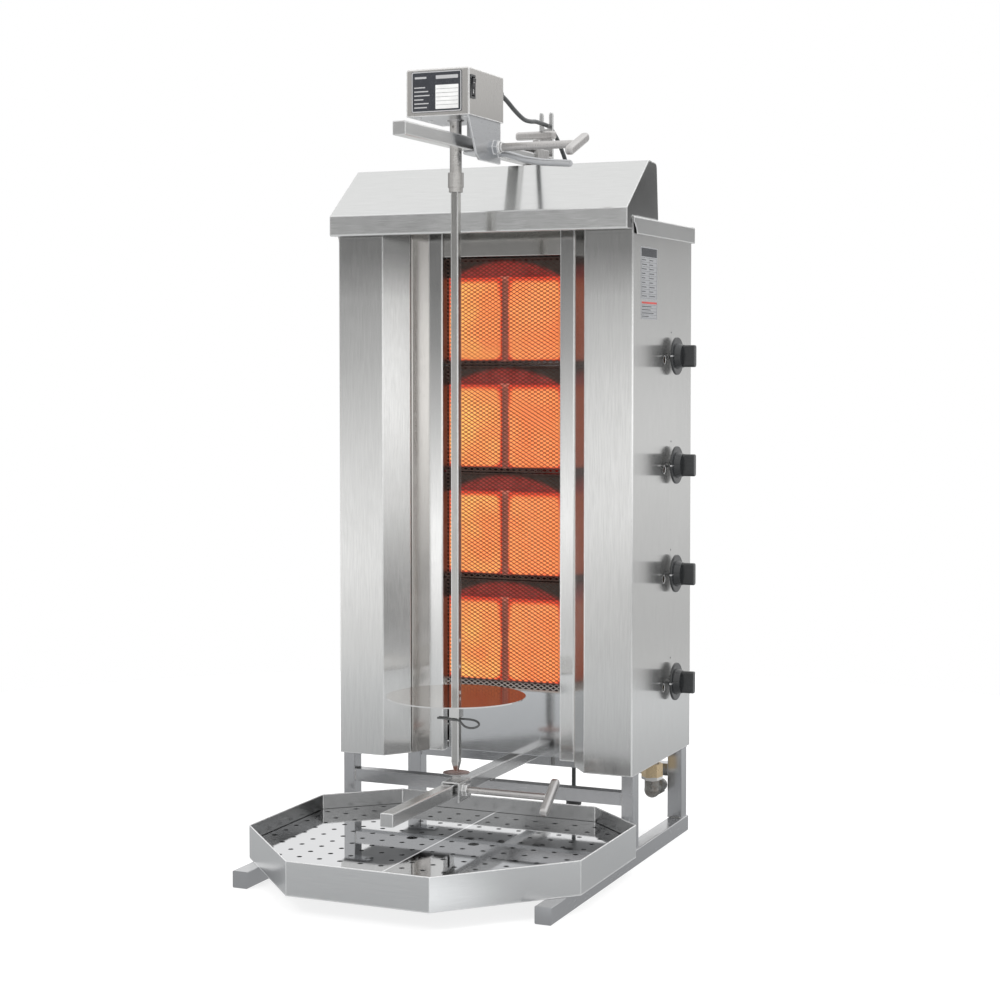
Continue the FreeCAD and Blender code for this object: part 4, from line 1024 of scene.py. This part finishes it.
# ---------------------------------------------------------------- weld beads
def bead(shape, start, end, radius):
    """A row of small weld scallops."""
    start, end = Vector(start), Vector(end)
    count = max(3, int((end - start).length / 0.8))
    ahead = (end - start).normalized()
    up = square_to(Z_AXIS if abs(ahead.z) < 0.9 else X_AXIS, ahead)
    side = ahead.cross(up)
    rings = []
    for i in range(count + 1):
        point = start + (end - start) * i / count
        swell = radius * (0.88 + 0.12 * math.cos(i * math.pi)) * (0.45 if i in (0, count) else 1)
        angles = [2 * math.pi * j / 8 for j in range(8)]
        rings.append([point + side * swell * math.cos(t) + up * swell * math.sin(t)
                      for t in angles])
    shape.skin(rings)


# inner and outer x, front and back y, y of the beads across
UPRIGHTS = ((229, 249, 10, 35, (9.8, 35.2)), (224, 249, 247, 272, (246.8,)))
# x of the end, front and back y
CROSS_TUBES = ((229, 12, 32), (224, 249.5, 269.5))


def weld_beads():
    shape = Shape()
    inset = 2  # bead ends short of the tube's edges
    for side in (-1, 1):
        for inner, outer, front, back, across in UPRIGHTS:
            z = 25.2
            for y in across:
                bead(shape, (side * (inner + inset), y, z), (side * (outer - inset), y, z), 1.1)
            x = side * (inner - 0.2)
            bead(shape, (x, front + inset, z), (x, back - inset, z), 1.1)
        for end, front, back in CROSS_TUBES:
            x = side * (end - 0.1)
            for y in (front - 0.1, back + 0.1):
                bead(shape, (x, y, 94), (x, y, 110), 0.95)
            for z in (112.1, 91.9):
                bead(shape, (x, front + inset, z), (x, back - inset, z), 0.95)
    # lower arm on the cross tubes
    for _, front, back in CROSS_TUBES:
        for x in (-10.1, 10.1):
            bead(shape, (x, front + inset, 112.1), (x, back - inset, 112.1), 1.0)
    # mast on its base plate
    x, y, z, half, off = 22, 170, 994.3, 10.5, 12.7
    for side in (-1, 1):
        bead(shape, (x - half, y + side * off, z), (x + half, y + side * off, z), 1.3)
        bead(shape, (x + side * off, y - half, z), (x + side * off, y + half, z), 1.3)
    # fork on the arm
    bead(shape, (13.5, 214.0, 1107.2), (30.5, 214.0, 1107.2), 1.0)
    shape.make("weld_beads", "weld", slot="frame_tube", angle=60)


# ---------------------------------------------------------------- camera, floor, world, lights
def add_camera():
    turn, tilt = math.radians(23.3), math.radians(2.29)  # to the left, and down
    data = bpy.data.cameras.new("cam")
    camera = bpy.data.objects.new("cam", data)
    bpy.context.scene.collection.objects.link(camera)
    camera.location = place(1253, -2836, 774)
    ahead = Vector((-math.sin(turn) * math.cos(tilt), math.cos(turn) * math.cos(tilt),
                    -math.sin(tilt)))
    camera.rotation_euler = ahead.to_track_quat("-Z", "Y").to_euler()
    data.lens = 71.63
    data.sensor_width = 36.0
    data.shift_y = -0.06055
    data.clip_start, data.clip_end = 0.05, 60.0
    bpy.context.scene.camera = camera


def floor_material():
    """Grey to the camera; to every other ray a pale glow, with painted shadow near the object and
    painted light on the right.
    """
    mat = Material("floor")
    x, y, _ = mat.xyz()
    distance = mat.length(x, y)
    mat.set(base_color=mat.mix(mat.remap(mat.noise(60)), (0.29, 0.29, 0.29), (0.31, 0.31, 0.31)),
            roughness=0.6, emission_color=WHITE,
            emission_strength=mat.remap(distance, (0.2, 1.5), to=(0.75, 0.80), smooth=True))
    # painted light, seen in reflections: a bright patch in front on the right, and a lift further
    # right
    to_spot = mat.length(x - 0.270, y + 0.470)
    spot = mat.remap(to_spot, (0.02, 0.17), to=(0.8, 0), smooth=True)
    lift = mat.remap(x, (0.45, 1.0), to=(0, 0.12), smooth=True)
    # painted shadow: the glow is dimmer close to the object
    strength = mat.remap(distance, (0.15, 1.5), to=(0.42, 0.66)) + spot + lift
    glow = mat.node("ShaderNodeEmission", {0: (0.97, 0.985, 1.0), 1: strength})
    camera_ray = mat.node("ShaderNodeLightPath", {}, out="Is Camera Ray")
    mat.put(mat.output.inputs[0],
            mat.node("ShaderNodeMixShader", {0: camera_ray, 1: glow, 2: mat.shader}))


def add_floor():
    floor_material()
    shape = Shape()
    shape.add([(x, y - 40, -0.4) for x, y in circle(1900, 96)], [range(96)])
    shape.make("floor", "floor", body=None, angle=None)


# elevation in degrees, brightness
FRONT_SKY = (
    (-90, 0.80), (-20, 0.76), (-12.5, 0.66), (-10.5, 0.56), (-9, 0.64), (-7.5, 0.92),
    (-6, 1.22), (-4.8, 1.20), (-3.4, 0.96), (-2, 0.78), (-0.7, 0.60), (0.7, 0.40), (2, 0.28),
    (5, 0.22), (7, 0.30), (9, 0.80), (16, 0.92), (24, 0.92), (40, 0.95), (60, 1.06), (90, 1.0),
)
BACK_SKY = (
    (-90, 0.80), (-20, 0.74), (-11, 0.70), (-9, 0.60), (-7.5, 0.56), (-5.5, 0.64),
    (-3.5, 0.72), (-1.5, 0.75), (0, 0.64), (2, 0.54), (3.4, 0.48), (4.4, 0.10), (5.7, 0.10),
    (6.5, 0.70), (8.5, 0.92), (14, 1.0), (30, 1.05), (60, 1.0), (90, 1.0),
)
RIGHT_SKY = (
    (-90, 0.75), (-14, 0.80), (-11.5, 0.80), (-10, 0.85), (-8.3, 0.34), (-7.4, 0.10),
    (-6.0, 0.08), (-5.2, 0.80), (-4.4, 1.0), (-3.0, 1.1), (-1.6, 1.35), (-0.5, 1.3),
    (0.6, 1.2), (1.7, 1.1), (2.6, 0.5), (3.3, 0.06), (5, 0.06), (7, 0.5), (9, 0.85),
    (14, 0.9), (24, 0.85), (40, 0.9), (90, 1.0),
)


def add_world():
    """White to the camera, a soft studio in reflections."""
    world = bpy.data.worlds.new("studio")
    bpy.context.scene.world = world
    world.use_nodes = True
    sky = Graph(world.node_tree, "ShaderNodeOutputWorld", "Generated")
    x, y, z = sky.xyz()
    elevation = sky.math("ARCSINE", z) * (180 / math.pi)

    def bands(position, table):
        return sky.ramp(position, [((degrees + 90.0) / 180.0, v) for degrees, v in table])

    # towards the front the bright band sits lower to the left than straight ahead
    shift = (sky.remap(x, (-0.6, 0), to=(-0.6, 0)) + 0.454) * 11.0
    level = sky.remap(elevation, (-90, 90))
    front = bands(sky.remap(elevation - shift, (-90, 90)), FRONT_SKY)
    right = bands(level, RIGHT_SKY)
    light = sky.mix(sky.remap(y, (-0.25, 0.25), smooth=True), front, bands(level, BACK_SKY))
    # a soft lift on the left
    left = (sky.remap(x, (-0.55, -0.85), smooth=True)
            * sky.remap(elevation, (-14, 4), to=(0.15, 1), smooth=True))
    lift = sky.node("ShaderNodeCombineColor", {i: left * 0.12 for i in range(3)})
    light = sky.mix(1, light, lift, mode="ADD")
    light = sky.mix(sky.remap(x, (0.62, 0.86), smooth=True), light, right)
    # the right side's bands at half strength over the front, except on the left
    share = sky.remap(x, (-0.366, -0.342), to=(0, 0.5)) * sky.remap(y, (0, -0.3))
    light = sky.mix(share, light, right)
    camera_ray = sky.node("ShaderNodeLightPath", {}, out="Is Camera Ray")
    background = sky.node("ShaderNodeBackground", {0: sky.mix(camera_ray, light, WHITE)})
    sky.put(sky.output.inputs[0], background)


def area_light(name, location, target, width, height, power):
    """Rectangle light, hidden from the camera and from reflections. Sizes in metres."""
    data = bpy.data.lights.new(name, "AREA")
    data.shape = "RECTANGLE"
    data.size, data.size_y, data.energy = width, height, power
    data.spread = math.radians(160)
    light = bpy.data.objects.new(name, data)
    bpy.context.scene.collection.objects.link(light)
    light.location = place(*location)
    ahead = place(*target) - place(*location)
    light.rotation_euler = ahead.to_track_quat("-Z", "Y").to_euler()
    light.visible_camera = False
    light.visible_glossy = False


def add_lights():
    area_light("key", (-1500, -2300, 2500), (0, 100, 600), width=1.3, height=1.0, power=26)
    area_light("top", (200, 200, 2700), (0, 0, 500), width=1.8, height=1.8, power=20)
    area_light("rim", (2300, 1500, 1900), (100, 100, 600), width=0.8, height=1.4, power=14)


def set_view():
    view = bpy.context.scene.view_settings
    view.view_transform = "Standard"
    view.look = "None"
    view.exposure = 0.0
    view.gamma = 1.0


# ---------------------------------------------------------------- build
make_materials()
dress_cad_pieces()
guards()
motor_cable()
cable_gland()
mains_plug()
spring_clip()
motor_plate()
side_labels()
for number, z in enumerate(KNOB_HEIGHTS, 1):
    knob_details(number, z)
carriage_collar()
rocker_marks()
weld_beads()
add_camera()
add_floor()
add_world()
add_lights()
set_view()
